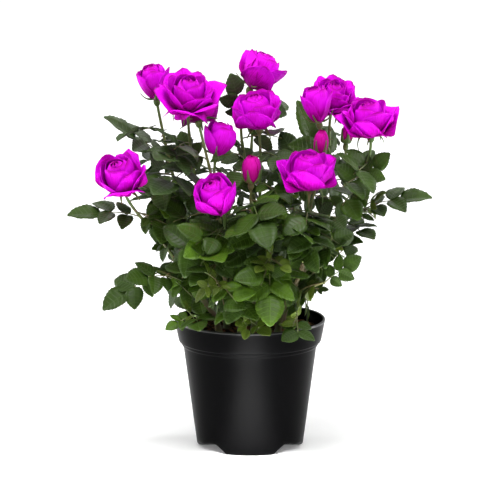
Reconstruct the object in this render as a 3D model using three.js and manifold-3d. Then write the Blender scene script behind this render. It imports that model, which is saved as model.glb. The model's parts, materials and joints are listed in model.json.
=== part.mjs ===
// A patio rose in its plastic nursery pot, in millimetres, with +Z up and the origin under the
// middle of the pot. Seven canes stand in the compost. Leafy shoots grow from them by a seeded
// rule, each in its own space, and most shoots end in a bloom or a bud on a hip.
import * as THREE from "three";
import { mergeVertices } from "three/addons/utils/BufferGeometryUtils.js";
import Module from "manifold-3d";

const wasm = await Module();
wasm.setup();

// Pot: a 13 cm nursery pot with a stepped rim and four arched notches in its foot.
const POT_HEIGHT = 113;
const RIM_RADIUS = 65.5;
const RIM_LOW_RADIUS = 62;
const RIM_HEIGHT = 19.5;
const LEDGE_HEIGHT = POT_HEIGHT - RIM_HEIGHT;
const BODY_TOP_RADIUS = 58.4;
const FOOT_RADIUS = 46;
const POT_WALL = 1.4;
const POT_FLOOR = 2;
const POT_SEGMENTS = 28;
const FOOT_ROUNDING = 2;
const LIP_ROUNDING = 1.5;
const RAISED_FLOOR = 8;
const RAISED_FLOOR_WIDTH = 22;

// A notch in the foot, as [turn from the front, height] pairs.
const NOTCH_ARCH = [[28, 0.02], [34, 3.9], [39, 6.7], [50, 6.4], [72, 3.6], [88, 0.02]];
const NOTCH_DEPTH = 20;

// Compost, filled to a little below the rim.
const SOIL_TOP = 100;
const SEAT_GAP = 0.3;

// Corners as close as this are one corner, and edges shorter than this are left out of the
// finished solids.
const SAME_CORNER = 1e-4;
const SHORTEST_EDGE = 0.05;

// Wood: canes, shoots, and the ribs of the leaves.
const CANE_SIDES = 5;
const CANE_STEPS = 6;
const CANE_FLARE = 1.5;
const CANE_FLARE_LENGTH = 7;
const CANE_UPRIGHT = 0.35;
const CANE_SAG = 0.08;
const SHOOT_SIDES = 3;
const SHOOT_STEPS = 5;
const SHOOT_FOOT_RADIUS = 1.5;
const SHOOT_TIP_RADIUS = 1.15;
const SHOOT_ARRIVAL = 0.38;
const SHOOT_DEPARTURE = 0.2;
const END_SHOOT_DEPARTURE = 0.3;
const BARE_TIP_RISE = 0.1;
const RIB_FOOT_RADIUS = 0.6;
const RIB_TIP_RADIUS = 0.7;
const RIB_SIDES = 3;
const RIB_SHARES = [0.15, 0.3, 0.4, 0.5, 0.6, 0.7, 0.8, 0.9, 1];
const LIMB_POINTS = 40;
const RIB_POINTS = 14;
const FORK_TIP_RADIUS = 1.05;
const FORK_DEPARTURE = 0.3;
const FORK_ARRIVAL = 0.4;

// Leaves: five leaflets on one rib, as shares of the length of the whole leaf.
const LEAF_LENGTH = 76;
const RIB_SHARE = 0.56;
const TIP_LEAFLET_SHARE = 0.48;
const PAIRS = [
  { along: 0.76, length: 0.39, splay: 60 },
  { along: 0.34, length: 0.31, splay: 70 },
];
const RIB_RINGS = [0, PAIRS[0].along, 1];
const LEAFLET_WIDTH = 0.8;
const LEAFLET_THICKNESS = 0.7;
const LEAFLET_WIDEST = 0.44;
const LEAFLET_DROOP = 0.05;
const LEAFLET_FOLD = 0.14;
const TIP_LEAFLET_ROOT = -0.6;
const PAIR_LEAFLET_ROOT = 0.1;
const LEAF_ARCH = 0.1;

// How leaves sit: the turn from one to the next, the slope from low ones to high ones, how far
// they face out from the middle of the plant when low and when high, how much they vary, and the
// sizes tried.
const FIRST_SEED = 1000;
const SEED_STEP = 77;
const LEAVES_TURN = 137.5;
const TURN_SPREAD = 40;
const SLOPE_SPREAD = 0.3;
const ROLL_SPREAD = 50;
const LOW_LEAF_SIZE = 1.08;
const HIGH_LEAF_SIZE = 0.8;
const SIZE_SPREAD = 0.1;
const SLOPE_LOW = -0.75;
const SLOPE_HIGH = 0.15;
const OUTWARD_LOW = 1.4;
const OUTWARD_HIGH = 0.8;
const FACING_ASIDE = 0.3;
const FACING_BACK = 55;
const CROWN_LOW = 110;
const CROWN_HIGH = 300;
const LEAF_TRIES = 12;
const LEAF_SIZES = [1, 0.87, 0.75];
const LEAST_LEAFLETS = 3;
const MOST_LEAVES = 8;

// A shoot's space is what lies nearer to its home than to any other, and a little past that where
// nothing stands. Room is kept between a leaf and other leaves, limbs and blooms, and no leaf
// hangs lower than the last of these.
const SPACE_OVERREACH = 22;
const BLOOM_MARGIN = 1.5;
const POT_MARGIN = 2;
const LIMB_GAP = 2.4;
const LEAFLET_GAP = 2.8;
const OWN_LEAFLET_GAP = 1.2;
const RIB_GAP = 4;
const NEIGHBOUR_REACH = 42;
const OVAL_HALF_LENGTH = 0.54;
const OVAL_HALF_WIDTH = 0.56;
const LOWEST_LEAF = 98;

// The crown's outline, as [height, reach to the left, reach to the right, half depth].
const CROWN_OUTLINE = [
  [98, 64, 58, 88],
  [130, 70, 62, 98],
  [158, 80, 70, 104],
  [175, 88, 96, 106],
  [200, 100, 110, 108],
  [240, 122, 124, 104],
  [285, 120, 120, 88],
  [330, 100, 100, 60],
];

// Hips as [radius, height] pairs. Blooms are rings of a share of the radius and of the height,
// which go from closed to open as the petals lean out.
const HIP_OUTLINE = [[1.5, -6.5], [3.1, -2.5], [2.4, 1.5]];
const HIP_SIDES = 5;
const BUD_RINGS = [
  { radius: 0.35, height: 0, lobe: 0 },
  { radius: 0.95, height: 0.28, lobe: 0 },
  { radius: 0.9, height: 0.55, lobe: 0.04 },
  { radius: 0.45, height: 0.85, lobe: 0 },
  { radius: 0, height: 1, lobe: 0 },
];
const CLOSED_RINGS = [
  { radius: 0.28, height: 0, lobe: 0 },
  { radius: 0.84, height: 0.3, lobe: 0.03 },
  { radius: 0.93, height: 0.62, lobe: 0.05 },
  { radius: 0.9, height: 0.9, lobe: 0.08 },
  { radius: 0.6, height: 0.8, lobe: -0.04 },
  { radius: 0.34, height: 1, lobe: 0 },
  { radius: 0, height: 0.86, lobe: 0 },
];
const OPEN_RINGS = [
  { radius: 0.28, height: 0, lobe: 0 },
  { radius: 0.7, height: 0.24, lobe: 0.03 },
  { radius: 0.95, height: 0.5, lobe: 0.06 },
  { radius: 1, height: 0.66, lobe: 0.07 },
  { radius: 0.76, height: 0.72, lobe: -0.04 },
  { radius: 0.46, height: 1, lobe: 0 },
  { radius: 0, height: 0.84, lobe: 0 },
];
const PETAL_LOBES = 4;
const BLOOM_SIDES = 8;
const LEAST_OPEN = 0.1;

// Canes: foot on the compost, tip at the fork, and the radii there.
const CANES = {
  cane_left: { foot: [-27, -10], tip: [-66, -22, 170], radii: [2.5, 1.8] },
  cane_left_back: { foot: [-20, 15], tip: [-54, 24, 188], radii: [2.4, 1.8] },
  cane_front: { foot: [-8, -25], tip: [-24, -42, 166], radii: [2.4, 1.8] },
  cane_centre: { foot: [4, 4], tip: [5, 8, 200], radii: [2.7, 1.9] },
  cane_right: { foot: [24, -16], tip: [46, -34, 168], radii: [2.4, 1.8] },
  cane_right_back: { foot: [28, 14], tip: [66, 12, 192], radii: [2.5, 1.8] },
  cane_back: { foot: [2, 31], tip: [0, 60, 166], radii: [2.4, 1.8] },
};

// Blooms: middle, spread, height, and the way they face. A small openness is a bud.
const BLOOMS = {
  bloom_top_left_bud: {
    middle: [-84, 20, 317], spread: 29, height: 31, faces: [-0.18, -0.05, 0.98], open: 0.45,
  },
  bloom_top_left: {
    middle: [-52, -30, 315], spread: 57, height: 31, faces: [0.05, -0.42, 0.9], open: 1,
  },
  bloom_top: {
    middle: [9, 25, 326], spread: 39, height: 33, faces: [0.5, 0.1, 0.86], open: 0.6,
  },
  bloom_centre: {
    middle: [6, -10, 296.5], spread: 44, height: 31, faces: [-0.1, -0.24, 0.97], open: 0.75,
  },
  bloom_top_right_bud: {
    middle: [57, -12, 302], spread: 27, height: 32, faces: [-0.16, -0.12, 0.98], open: 0.4,
  },
  bloom_top_right: {
    middle: [73, 18, 305], spread: 43, height: 28, faces: [0.15, -0.5, 0.85], open: 1,
  },
  bloom_right: {
    middle: [102, -22, 292], spread: 48, height: 33, faces: [-0.1, -0.26, 0.96], open: 0.85,
  },
  bloom_centre_left: {
    middle: [-26, -30, 276], spread: 28, height: 30, faces: [0.2, -0.1, 0.97], open: 0.35,
  },
  bloom_left: {
    middle: [-112, -35, 244], spread: 46, height: 34, faces: [-0.2, -0.55, 0.81], open: 0.75,
  },
  bloom_front: {
    middle: [-29, -62, 231], spread: 37, height: 34, faces: [-0.3, -0.5, 0.81], open: 0.5,
  },
  bud_front: {
    middle: [1, -42, 251], spread: 16, height: 25, faces: [0.02, -0.1, 0.99], open: 0.05,
  },
  bloom_right_front: {
    middle: [50, -47, 250.5], spread: 50, height: 33, faces: [0.02, -0.2, 0.98], open: 0.85,
  },
  bud_right: {
    middle: [61, -20, 270], spread: 13, height: 23, faces: [0.06, -0.1, 0.99], open: 0.02,
  },
  bud_far_right: {
    middle: [84, 16, 272], spread: 10, height: 17, faces: [0.1, 0.05, 0.99], open: 0,
  },
  bloom_back_left: {
    middle: [-48, 48, 292], spread: 42, height: 30, faces: [-0.2, 0.5, 0.84], open: 0.75,
  },
  bloom_back: {
    middle: [4, 62, 284], spread: 36, height: 30, faces: [0.1, 0.5, 0.86], open: 0.5,
  },
  bloom_back_right: {
    middle: [50, 62, 229], spread: 44, height: 31, faces: [0.2, 0.6, 0.77], open: 0.85,
  },
  bloom_low_back: {
    middle: [-31, 78, 208], spread: 38, height: 31, faces: [-0.2, 0.6, 0.77], open: 0.55,
  },
};

// Shoots: the cane and how far up it they start, the bloom or the tip that they end in, the home
// of their leaves, how many there are and between which shares of the stalk, and leaves that are
// aimed at one place.
const SHOOTS = {
  shoot_left: {
    cane: "cane_left", at: 1, bloom: "bloom_left", home: [-102, -26, 206], leaves: 5,
    between: [0.05, 0.75], aimed: [{ at: 0.6, tip: [-155, -30, 213], roll: 20 }],
  },
  shoot_left_low: {
    cane: "cane_left", at: 0.6, tip: [-80, -36, 161], home: [-92, -38, 146], leaves: 3,
    between: [0.3, 1],
    aimed: [{ at: 0.95, tip: [-126, -44, 131] }, { at: 0.6, tip: [-104, -66, 162] }],
  },
  shoot_left_rim: {
    cane: "cane_left", at: 0.2, tip: [-50, -44, 124], home: [-55, -54, 120], leaves: 4,
    between: [0.3, 1], aimed: [{ at: 1, tip: [-72, -58, 115] }, { at: 0.8, tip: [-44, -84, 122] }],
  },
  shoot_top_left_bud: {
    cane: "cane_left_back", at: 1, bloom: "bloom_top_left_bud", home: [-98, 16, 262], leaves: 5,
    between: [0.25, 0.8], aimed: [{ at: 0.48, tip: [-123, 2, 290], roll: 25 }],
  },
  shoot_top_left: {
    cane: "cane_left_back", at: 0.8, bloom: "bloom_top_left", home: [-66, -24, 256], leaves: 6,
    between: [0.3, 0.8], aimed: [{ at: 0.55, tip: [-60, 6, 276] }],
  },
  shoot_back_left: {
    cane: "cane_left_back", at: 0.55, bloom: "bloom_back_left", home: [-62, 62, 232], leaves: 5,
    between: [0.3, 0.8], aimed: [],
  },
  shoot_inner_left: {
    cane: "cane_left_back", at: 0.4, tip: [-70, 20, 196], home: [-70, 14, 192], leaves: 5,
    between: [0.3, 1], aimed: [],
  },
  shoot_centre_left: {
    cane: "cane_front", at: 0.72, bloom: "bloom_centre_left", home: [-30, -16, 226], leaves: 5,
    between: [0.3, 0.85], aimed: [],
  },
  shoot_front: {
    cane: "cane_front", at: 1, bloom: "bloom_front", home: [-48, -66, 194], leaves: 6,
    between: [0.05, 0.75], aimed: [],
  },
  shoot_front_low: {
    cane: "cane_front", at: 0.45, tip: [-28, -76, 160], home: [-26, -84, 152], leaves: 5,
    between: [0.3, 1], aimed: [],
  },
  shoot_front_rim: {
    cane: "cane_front", at: 0.14, tip: [-2, -60, 124], home: [-4, -66, 122], leaves: 4,
    between: [0.4, 1], aimed: [],
  },
  shoot_front_middle: {
    cane: "cane_centre", at: 0.5, tip: [18, -62, 178], home: [20, -74, 168], leaves: 5,
    between: [0.4, 1], aimed: [{ at: 0.9, tip: [17, -98, 129] }],
  },
  shoot_top: {
    cane: "cane_centre", at: 1, bloom: "bloom_top", home: [-8, 14, 292], leaves: 4,
    between: [0.2, 0.85],
    aimed: [{ at: 0.76, tip: [-15, -4, 326], roll: -15 }, { at: 0.5, tip: [-16, 4, 268] }],
  },
  shoot_centre: {
    cane: "cane_centre", at: 0.84, bloom: "bloom_centre", home: [14, -24, 258], leaves: 5,
    between: [0.2, 0.85], aimed: [{ at: 0.5, tip: [26, -12, 242] }],
  },
  shoot_front_bud: {
    cane: "cane_centre", at: 0.6, bloom: "bud_front", home: [2, -54, 214], leaves: 5,
    between: [0.4, 0.9], aimed: [],
  },
  shoot_back: {
    cane: "cane_centre", at: 0.7, bloom: "bloom_back", home: [6, 66, 240], leaves: 5,
    between: [0.25, 0.8], aimed: [],
  },
  shoot_inner_right: {
    cane: "cane_right_back", at: 0.42, tip: [36, 12, 212], home: [34, 4, 206], leaves: 5,
    between: [0.35, 1], aimed: [{ at: 1, tip: [6, 2, 254] }],
  },
  shoot_right_front: {
    cane: "cane_right", at: 1, bloom: "bloom_right_front", home: [58, -62, 204], leaves: 6,
    between: [0.05, 0.75], aimed: [],
  },
  shoot_right_bud: {
    cane: "cane_right", at: 0.78, bloom: "bud_right", home: [52, -16, 256], leaves: 5,
    between: [0.3, 0.85], aimed: [],
  },
  shoot_right_low: {
    cane: "cane_right", at: 0.5, tip: [64, -50, 154], home: [72, -60, 152], leaves: 5,
    between: [0.3, 1], aimed: [{ at: 1, tip: [94, -58, 178] }, { at: 0.6, tip: [68, -40, 146] }],
  },
  shoot_right_rim: {
    cane: "cane_right", at: 0.16, tip: [40, -52, 124], home: [42, -60, 118], leaves: 4,
    between: [0.3, 1], aimed: [{ at: 1, tip: [42, -86, 99] }],
  },
  shoot_top_right: {
    cane: "cane_right_back", at: 1, bloom: "bloom_top_right", home: [68, 30, 256], leaves: 5,
    between: [0.2, 0.8], aimed: [{ at: 0.3, tip: [43, 28, 298] }],
    fork: { at: 0.55, bloom: "bloom_top_right_bud" },
  },
  shoot_far_right: {
    cane: "cane_right_back", at: 0.82, bloom: "bloom_right", home: [106, -8, 250], leaves: 5,
    between: [0.3, 0.85], aimed: [{ at: 0.6, tip: [118, -26, 262] }],
    fork: { at: 0.5, bloom: "bud_far_right" },
  },
  shoot_right_mid: {
    cane: "cane_right_back", at: 0.6, tip: [98, 2, 208], home: [112, -4, 204], leaves: 5,
    between: [0.35, 1],
    aimed: [{ at: 1, tip: [155, -2, 224], roll: -25 }, { at: 0.7, tip: [106, -36, 192] }],
  },
  shoot_right_side: {
    cane: "cane_right_back", at: 0.33, tip: [72, 24, 160], home: [74, 20, 160], leaves: 4,
    between: [0.4, 1], aimed: [],
  },
  shoot_back_right: {
    cane: "cane_back", at: 0.8, bloom: "bloom_back_right", home: [66, 66, 196], leaves: 6,
    between: [0.2, 0.8], aimed: [],
  },
  shoot_low_back: {
    cane: "cane_back", at: 1, bloom: "bloom_low_back", home: [-22, 92, 182], leaves: 5,
    between: [0.05, 0.7], aimed: [],
  },
  shoot_back_low_left: {
    cane: "cane_back", at: 0.45, tip: [-50, 66, 146], home: [-58, 66, 144], leaves: 5,
    between: [0.35, 1], aimed: [],
  },
  shoot_back_low_right: {
    cane: "cane_back", at: 0.32, tip: [40, 66, 138], home: [42, 72, 136], leaves: 5,
    between: [0.35, 1], aimed: [],
  },
};

// Colour, roughness and the rest of each finish. A shoot is green with petals of another colour.
const FINISHES = {
  pot: { color: 0x1b1b1c, roughness: 0.38, metalness: 0 },
  compost: { color: 0x2a1a12, roughness: 0.95, metalness: 0 },
  cane: { color: 0x4d5a2a, roughness: 0.6, metalness: 0 },
  shoot: { color: 0x36501f, roughness: 0.5, metalness: 0 },
};
const PETAL_COLOUR = 0xc808c4;

const UP = new THREE.Vector3(0, 0, 1);
const SIDEWAYS = new THREE.Vector3(0.31, 0.95, 0.02).normalize();
const vector = (p) => new THREE.Vector3(...p);
const radians = THREE.MathUtils.degToRad;
const mix = THREE.MathUtils.lerp;

// The same seed gives the same rose: a Park-Miller generator, from 0 to 1.
const GENERATOR_FACTOR = 48271;
const GENERATOR_PRIME = 2147483647;
function seededRandom(seed) {
  let state = seed;
  return () => {
    state = (state * GENERATOR_FACTOR) % GENERATOR_PRIME;
    return state / GENERATOR_PRIME;
  };
}

// A closed three.js geometry as a solid of one colour, with its faces turned out.
function solidFrom(geometry, colour) {
  const bare = geometry.index ? geometry.toNonIndexed() : geometry.clone();
  bare.deleteAttribute("normal");
  bare.deleteAttribute("uv");
  const merged = mergeVertices(bare, SAME_CORNER);
  const { r, g, b } = new THREE.Color(colour);
  const positions = merged.attributes.position;
  const vertProperties = new Float32Array(positions.count * 6);
  for (let i = 0; i < positions.count; i++)
    vertProperties.set([positions.getX(i), positions.getY(i), positions.getZ(i), r, g, b], i * 6);
  const triVerts = new Uint32Array(merged.index.array);
  const make = () => new wasm.Manifold(new wasm.Mesh({ numProp: 6, vertProperties, triVerts }));
  const solid = make();
  if (solid.volume() > 0) return solid;
  for (let i = 0; i < triVerts.length; i += 3)
    [triVerts[i + 1], triVerts[i + 2]] = [triVerts[i + 2], triVerts[i + 1]];
  return make();
}

// A solid back as a coloured geometry. Scraps that a cut has left loose are dropped, and so are
// edges too short to matter.
function geometryFrom(solid) {
  const pieces = solid.simplify(SHORTEST_EDGE).decompose();
  const [whole] = pieces.sort((a, b) => b.volume() - a.volume());
  const mesh = whole.getMesh();
  const values = new THREE.InterleavedBuffer(mesh.vertProperties, mesh.numProp);
  const geometry = new THREE.BufferGeometry()
    .setAttribute("position", new THREE.InterleavedBufferAttribute(values, 3, 0))
    .setAttribute("color", new THREE.InterleavedBufferAttribute(values, 3, 3))
    .setIndex(new THREE.BufferAttribute(mesh.triVerts, 1))
    .toNonIndexed();
  geometry.computeVertexNormals();
  return geometry;
}

// Triangles between rings of points, closed by a fan at each end. A ring may be one point.
function skin(rings) {
  const points = [];
  const triangle = (a, b, c) => points.push(...a.toArray(), ...b.toArray(), ...c.toArray());
  for (let k = 0; k + 1 < rings.length; k++) {
    const [low, high] = [rings[k], rings[k + 1]];
    const count = Math.max(low.length, high.length);
    for (let i = 0; i < count; i++) {
      const j = (i + 1) % count;
      if (low.length > 1) triangle(low[i], low[j], high[high.length > 1 ? j : 0]);
      if (high.length > 1) triangle(low[low.length > 1 ? i : 0], high[j], high[i]);
    }
  }
  const first = rings[0];
  const last = rings[rings.length - 1];
  for (let i = 1; i + 1 < first.length; i++) triangle(first[0], first[i + 1], first[i]);
  for (let i = 1; i + 1 < last.length; i++) triangle(last[0], last[i], last[i + 1]);
  return new THREE.BufferGeometry().setAttribute(
    "position",
    new THREE.Float32BufferAttribute(points, 3),
  );
}

// A round limb along a curve, with a ring at each of the given shares of its length.
function limb(curve, radiusAt, sides, shares) {
  const rings = shares.map((share) => {
    const middle = curve.getPointAt(share);
    const tangent = curve.getTangentAt(share);
    const across = SIDEWAYS.clone().cross(tangent).normalize();
    const over = tangent.clone().cross(across);
    return Array.from({ length: sides }, (_, i) => {
      const turn = (2 * Math.PI * i) / sides;
      return middle
        .clone()
        .addScaledVector(across, radiusAt(share) * Math.cos(turn))
        .addScaledVector(over, radiusAt(share) * Math.sin(turn));
    });
  });
  return skin(rings);
}

const evenShares = (steps) => Array.from({ length: steps + 1 }, (_, k) => k / steps);
const CANE_RINGS = evenShares(CANE_STEPS);
const SHOOT_RINGS = evenShares(SHOOT_STEPS);

// The point at a share of a faceted limb's length: on the straight stretch between two rings.
function onLimb(curve, share, shares) {
  const k = Math.max(shares.findIndex((end) => end >= share), 1);
  const [low, high] = [shares[k - 1], shares[k]];
  return curve.getPointAt(low).lerp(curve.getPointAt(high), (share - low) / (high - low));
}

// A solid of revolution from [radius, height] points that start and end on the axis.
function turned(outline, segments, colour) {
  const profile = outline.map(([radius, height]) => new THREE.Vector2(radius, height));
  return solidFrom(new THREE.LatheGeometry(profile, segments).rotateX(Math.PI / 2), colour);
}

// One notch in the pot's foot, mirrored by its signs.
function footNotch(signX, signY) {
  const inner = FOOT_RADIUS - NOTCH_DEPTH;
  const outer = FOOT_RADIUS + NOTCH_DEPTH;
  const rings = NOTCH_ARCH.map(([turn, height]) =>
    [[inner, -1], [outer, -1], [outer, height], [inner, height]].map(([radius, z]) => {
      const x = signX * radius * Math.sin(radians(turn));
      const y = -signY * radius * Math.cos(radians(turn));
      return new THREE.Vector3(x, y, z);
    }),
  );
  return solidFrom(skin(rings), FINISHES.pot.color);
}

function makePot() {
  const shell = turned(
    [
      [0, 0],
      [FOOT_RADIUS - FOOT_ROUNDING, 0],
      [FOOT_RADIUS, FOOT_ROUNDING],
      [BODY_TOP_RADIUS, LEDGE_HEIGHT - POT_WALL],
      [RIM_LOW_RADIUS, LEDGE_HEIGHT],
      [RIM_RADIUS, POT_HEIGHT - LIP_ROUNDING],
      [RIM_RADIUS - LIP_ROUNDING / 2, POT_HEIGHT],
      [RIM_RADIUS - POT_WALL, POT_HEIGHT],
      [RIM_LOW_RADIUS - POT_WALL, LEDGE_HEIGHT + POT_WALL],
      [BODY_TOP_RADIUS - POT_WALL, LEDGE_HEIGHT - LIP_ROUNDING / 2],
      [FOOT_RADIUS - POT_WALL, RAISED_FLOOR + LIP_ROUNDING / 2],
      [FOOT_RADIUS - RAISED_FLOOR_WIDTH, RAISED_FLOOR],
      [FOOT_RADIUS - RAISED_FLOOR_WIDTH, POT_FLOOR],
      [0, POT_FLOOR],
    ],
    POT_SEGMENTS,
    FINISHES.pot.color,
  );
  const notches = [
    [1, 1],
    [-1, 1],
    [1, -1],
    [-1, -1],
  ].map(([x, y]) => footNotch(x, y));
  return notches.reduce((pot, notch) => pot.subtract(notch), shell);
}

function makeSoil() {
  const wallAt = (z) => mix(FOOT_RADIUS, BODY_TOP_RADIUS, z / LEDGE_HEIGHT) - POT_WALL - 2 * SEAT_GAP;
  const rimShare = (SOIL_TOP - LEDGE_HEIGHT) / RIM_HEIGHT;
  const rimInner = mix(RIM_LOW_RADIUS, RIM_RADIUS, rimShare) - POT_WALL;
  return turned(
    [
      [0, POT_FLOOR + SEAT_GAP],
      [FOOT_RADIUS - RAISED_FLOOR_WIDTH - SEAT_GAP, POT_FLOOR + SEAT_GAP],
      [FOOT_RADIUS - RAISED_FLOOR_WIDTH - SEAT_GAP, RAISED_FLOOR + 2 * SEAT_GAP],
      [wallAt(0) - 3 * SEAT_GAP, RAISED_FLOOR + 5 * SEAT_GAP],
      [wallAt(LEDGE_HEIGHT - 2 * POT_WALL), LEDGE_HEIGHT - 2 * POT_WALL],
      [BODY_TOP_RADIUS - POT_WALL, LEDGE_HEIGHT + 2 * POT_WALL],
      [rimInner - 4 * SEAT_GAP, SOIL_TOP],
      [0, SOIL_TOP],
    ],
    POT_SEGMENTS,
    FINISHES.compost.color,
  );
}

// A cane's middle line leaves the compost upright and leans over to its fork.
function caneCurve({ foot, tip }) {
  const start = new THREE.Vector3(foot[0], foot[1], SOIL_TOP + SEAT_GAP);
  const end = vector(tip);
  const rise = end.z - start.z;
  return new THREE.CubicBezierCurve3(
    start,
    start.clone().addScaledVector(UP, rise * CANE_UPRIGHT),
    end.clone().lerp(start, CANE_UPRIGHT).addScaledVector(UP, rise * -CANE_SAG),
    end,
  );
}

function caneRadius([foot, tip], length) {
  return (share) => mix(foot, tip, share) + CANE_FLARE * Math.exp((-share * length) / CANE_FLARE_LENGTH);
}

const canes = {};
for (const [name, cane] of Object.entries(CANES)) {
  const curve = caneCurve(cane);
  const radiusAt = caneRadius(cane.radii, curve.getLength());
  canes[name] = { curve, radiusAt };
}

const blooms = {};
for (const [name, bloom] of Object.entries(BLOOMS)) {
  const axis = vector(bloom.faces).normalize();
  const middle = vector(bloom.middle);
  const base = middle.clone().addScaledVector(axis, -bloom.height / 2);
  blooms[name] = { ...bloom, axis, middle, base };
}

// A shoot's middle line starts square to its cane, turns up, and ends along its bloom's axis.
function shootCurve(shoot) {
  const { curve, radiusAt } = canes[shoot.cane];
  const onCane = curve.getPointAt(shoot.at);
  const along = curve.getTangentAt(shoot.at);
  const bloom = blooms[shoot.bloom];
  const end = bloom ? bloom.base.clone().addScaledVector(bloom.axis, -SEAT_GAP) : vector(shoot.tip);
  const reach = end.clone().sub(onCane);
  const atEnd = shoot.at === 1;
  const departure = atEnd ? END_SHOOT_DEPARTURE : SHOOT_DEPARTURE;
  const leave = atEnd ? along : reach.clone().addScaledVector(along, -reach.dot(along)).normalize();
  const start = onCane.addScaledVector(leave, (atEnd ? 0 : radiusAt(shoot.at)) + SEAT_GAP);
  const length = end.distanceTo(start);
  const level = new THREE.Vector3(reach.x, reach.y, reach.length() * BARE_TIP_RISE);
  const arrive = bloom ? bloom.axis : level.normalize();
  return new THREE.CubicBezierCurve3(
    start,
    start.clone().addScaledVector(leave, length * departure),
    end.clone().addScaledVector(arrive, -length * SHOOT_ARRIVAL),
    end,
  );
}

// A second stalk leaves a forked shoot and ends in its own bloom.
function forkCurve(shoot, main) {
  const bloom = blooms[shoot.fork.bloom];
  const start = onLimb(main, shoot.fork.at, SHOOT_RINGS);
  const end = bloom.base.clone().addScaledVector(bloom.axis, -SEAT_GAP);
  const length = end.distanceTo(start);
  return new THREE.CubicBezierCurve3(
    start,
    start.clone().addScaledVector(main.getTangentAt(shoot.fork.at), length * FORK_DEPARTURE),
    end.clone().addScaledVector(bloom.axis, -length * FORK_ARRIVAL),
    end,
  );
}

const shoots = {};
Object.entries(SHOOTS).forEach(([name, shoot], index) => {
  const curve = shootCurve(shoot);
  const stalks = [curve];
  const carries = shoot.bloom ? [blooms[shoot.bloom]] : [];
  if (shoot.fork) {
    stalks.push(forkCurve(shoot, curve));
    carries.push(blooms[shoot.fork.bloom]);
  }
  const home = vector(shoot.home);
  const random = seededRandom(FIRST_SEED + SEED_STEP * index);
  shoots[name] = { ...shoot, curve, stalks, home, carries, random, grown: [] };
});

// Points along every limb, with the shoot that they belong to. Ribs join them as leaves grow.
const limbPoints = [];
const addLimbPoints = (curve, owner, count) =>
  curve.getSpacedPoints(count).forEach((point) => limbPoints.push({ point, owner }));
for (const cane of Object.values(canes)) addLimbPoints(cane.curve, cane, LIMB_POINTS);
for (const shoot of Object.values(shoots))
  for (const stalk of shoot.stalks) addLimbPoints(stalk, shoot, LIMB_POINTS);

function inOwnSpace(point, shoot) {
  const own = point.distanceTo(shoot.home) - SPACE_OVERREACH;
  return Object.values(shoots).every((other) => other === shoot || own < point.distanceTo(other.home));
}

function clearOfBlooms(point) {
  return Object.values(blooms).every(
    ({ middle, spread, height }) =>
      point.distanceTo(middle) > Math.max(spread, height) / 2 + BLOOM_MARGIN,
  );
}

// Leaves hang over the rim without touching it, and keep off the compost.
function clearOfPot(point) {
  const out = Math.hypot(point.x, point.y);
  if (point.z < LOWEST_LEAF) return false;
  if (point.z > POT_HEIGHT + POT_MARGIN || out > RIM_RADIUS + POT_MARGIN) return true;
  return point.z > SOIL_TOP + POT_MARGIN && out < RIM_LOW_RADIUS - POT_WALL - POT_MARGIN;
}

// A point crowds a leaflet if it is within an oval a little larger than the leaflet, and close to
// its folded plane.
function crowds(point, { root, along, across, normal, length }, gap) {
  const offset = point.clone().sub(root);
  const u = offset.dot(along) / length - 0.5;
  const v = offset.dot(across) / (length * LEAFLET_WIDTH);
  const folded = 2 * Math.abs(v) * LEAFLET_FOLD * LEAFLET_WIDTH * length;
  const within = (u / OVAL_HALF_LENGTH) ** 2 + (v / OVAL_HALF_WIDTH) ** 2 < 1;
  return within && Math.abs(offset.dot(normal) - folded) < gap;
}

// The corners of a leaflet: its outline from the root round, and the ridge above and below.
function leafletCorners({ root, along, across, normal, length }) {
  const place = (u, v, w) =>
    root
      .clone()
      .addScaledVector(along, u * length)
      .addScaledVector(across, v * length)
      .addScaledVector(normal, w);
  const side = (v) => place(LEAFLET_WIDEST, (v * LEAFLET_WIDTH) / 2, LEAFLET_FOLD * LEAFLET_WIDTH * length);
  return {
    edge: [place(0, 0, 0), side(1), place(1, 0, -LEAFLET_DROOP * length), side(-1)],
    top: place(LEAFLET_WIDEST, 0, LEAFLET_THICKNESS / 2),
    under: place(LEAFLET_WIDEST, 0, -LEAFLET_THICKNESS / 2),
  };
}

// Only an aimed leaf reaches out of the crown's own outline.
function inCrown(point) {
  const after = CROWN_OUTLINE.findIndex(([height]) => height > point.z);
  if (after < 1) return false;
  const [low, high] = CROWN_OUTLINE.slice(after - 1, after + 1);
  const share = (point.z - low[0]) / (high[0] - low[0]);
  const [, left, right, deep] = low.map((value, i) => mix(value, high[i], share));
  return Math.hypot(point.x / (point.x < 0 ? left : right), point.y / deep) < 1;
}

function middleOf({ root, along, length }) {
  return root.clone().addScaledVector(along, length / 2);
}

// Where a leaflet is tested for room: its corners, the middles of its sides, and its ridge.
function testPoints(leaflet) {
  const { edge, top } = leafletCorners(leaflet);
  const sides = edge.map((corner, i) => corner.clone().lerp(edge[(i + 1) % edge.length], 0.5));
  return [...edge, ...sides, top];
}

function leafletFits(leaflet, shoot, aimed) {
  const corners = testPoints(leaflet);
  const middle = middleOf(leaflet);
  return (
    corners.every(
      (point) =>
        (aimed || inCrown(point)) && inOwnSpace(point, shoot) && clearOfBlooms(point) && clearOfPot(point),
    ) &&
    limbPoints.every(({ point, owner }) => owner === shoot || !crowds(point, leaflet, LIMB_GAP)) &&
    grownLeaflets.every((other) => {
      if (middle.distanceTo(other.middle) > NEIGHBOUR_REACH) return true;
      const gap = other.owner === shoot ? OWN_LEAFLET_GAP : LEAFLET_GAP;
      const crowded = corners.some((point) => crowds(point, other.leaflet, gap));
      return !crowded && !other.corners.some((point) => crowds(point, leaflet, gap));
    })
  );
}

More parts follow.
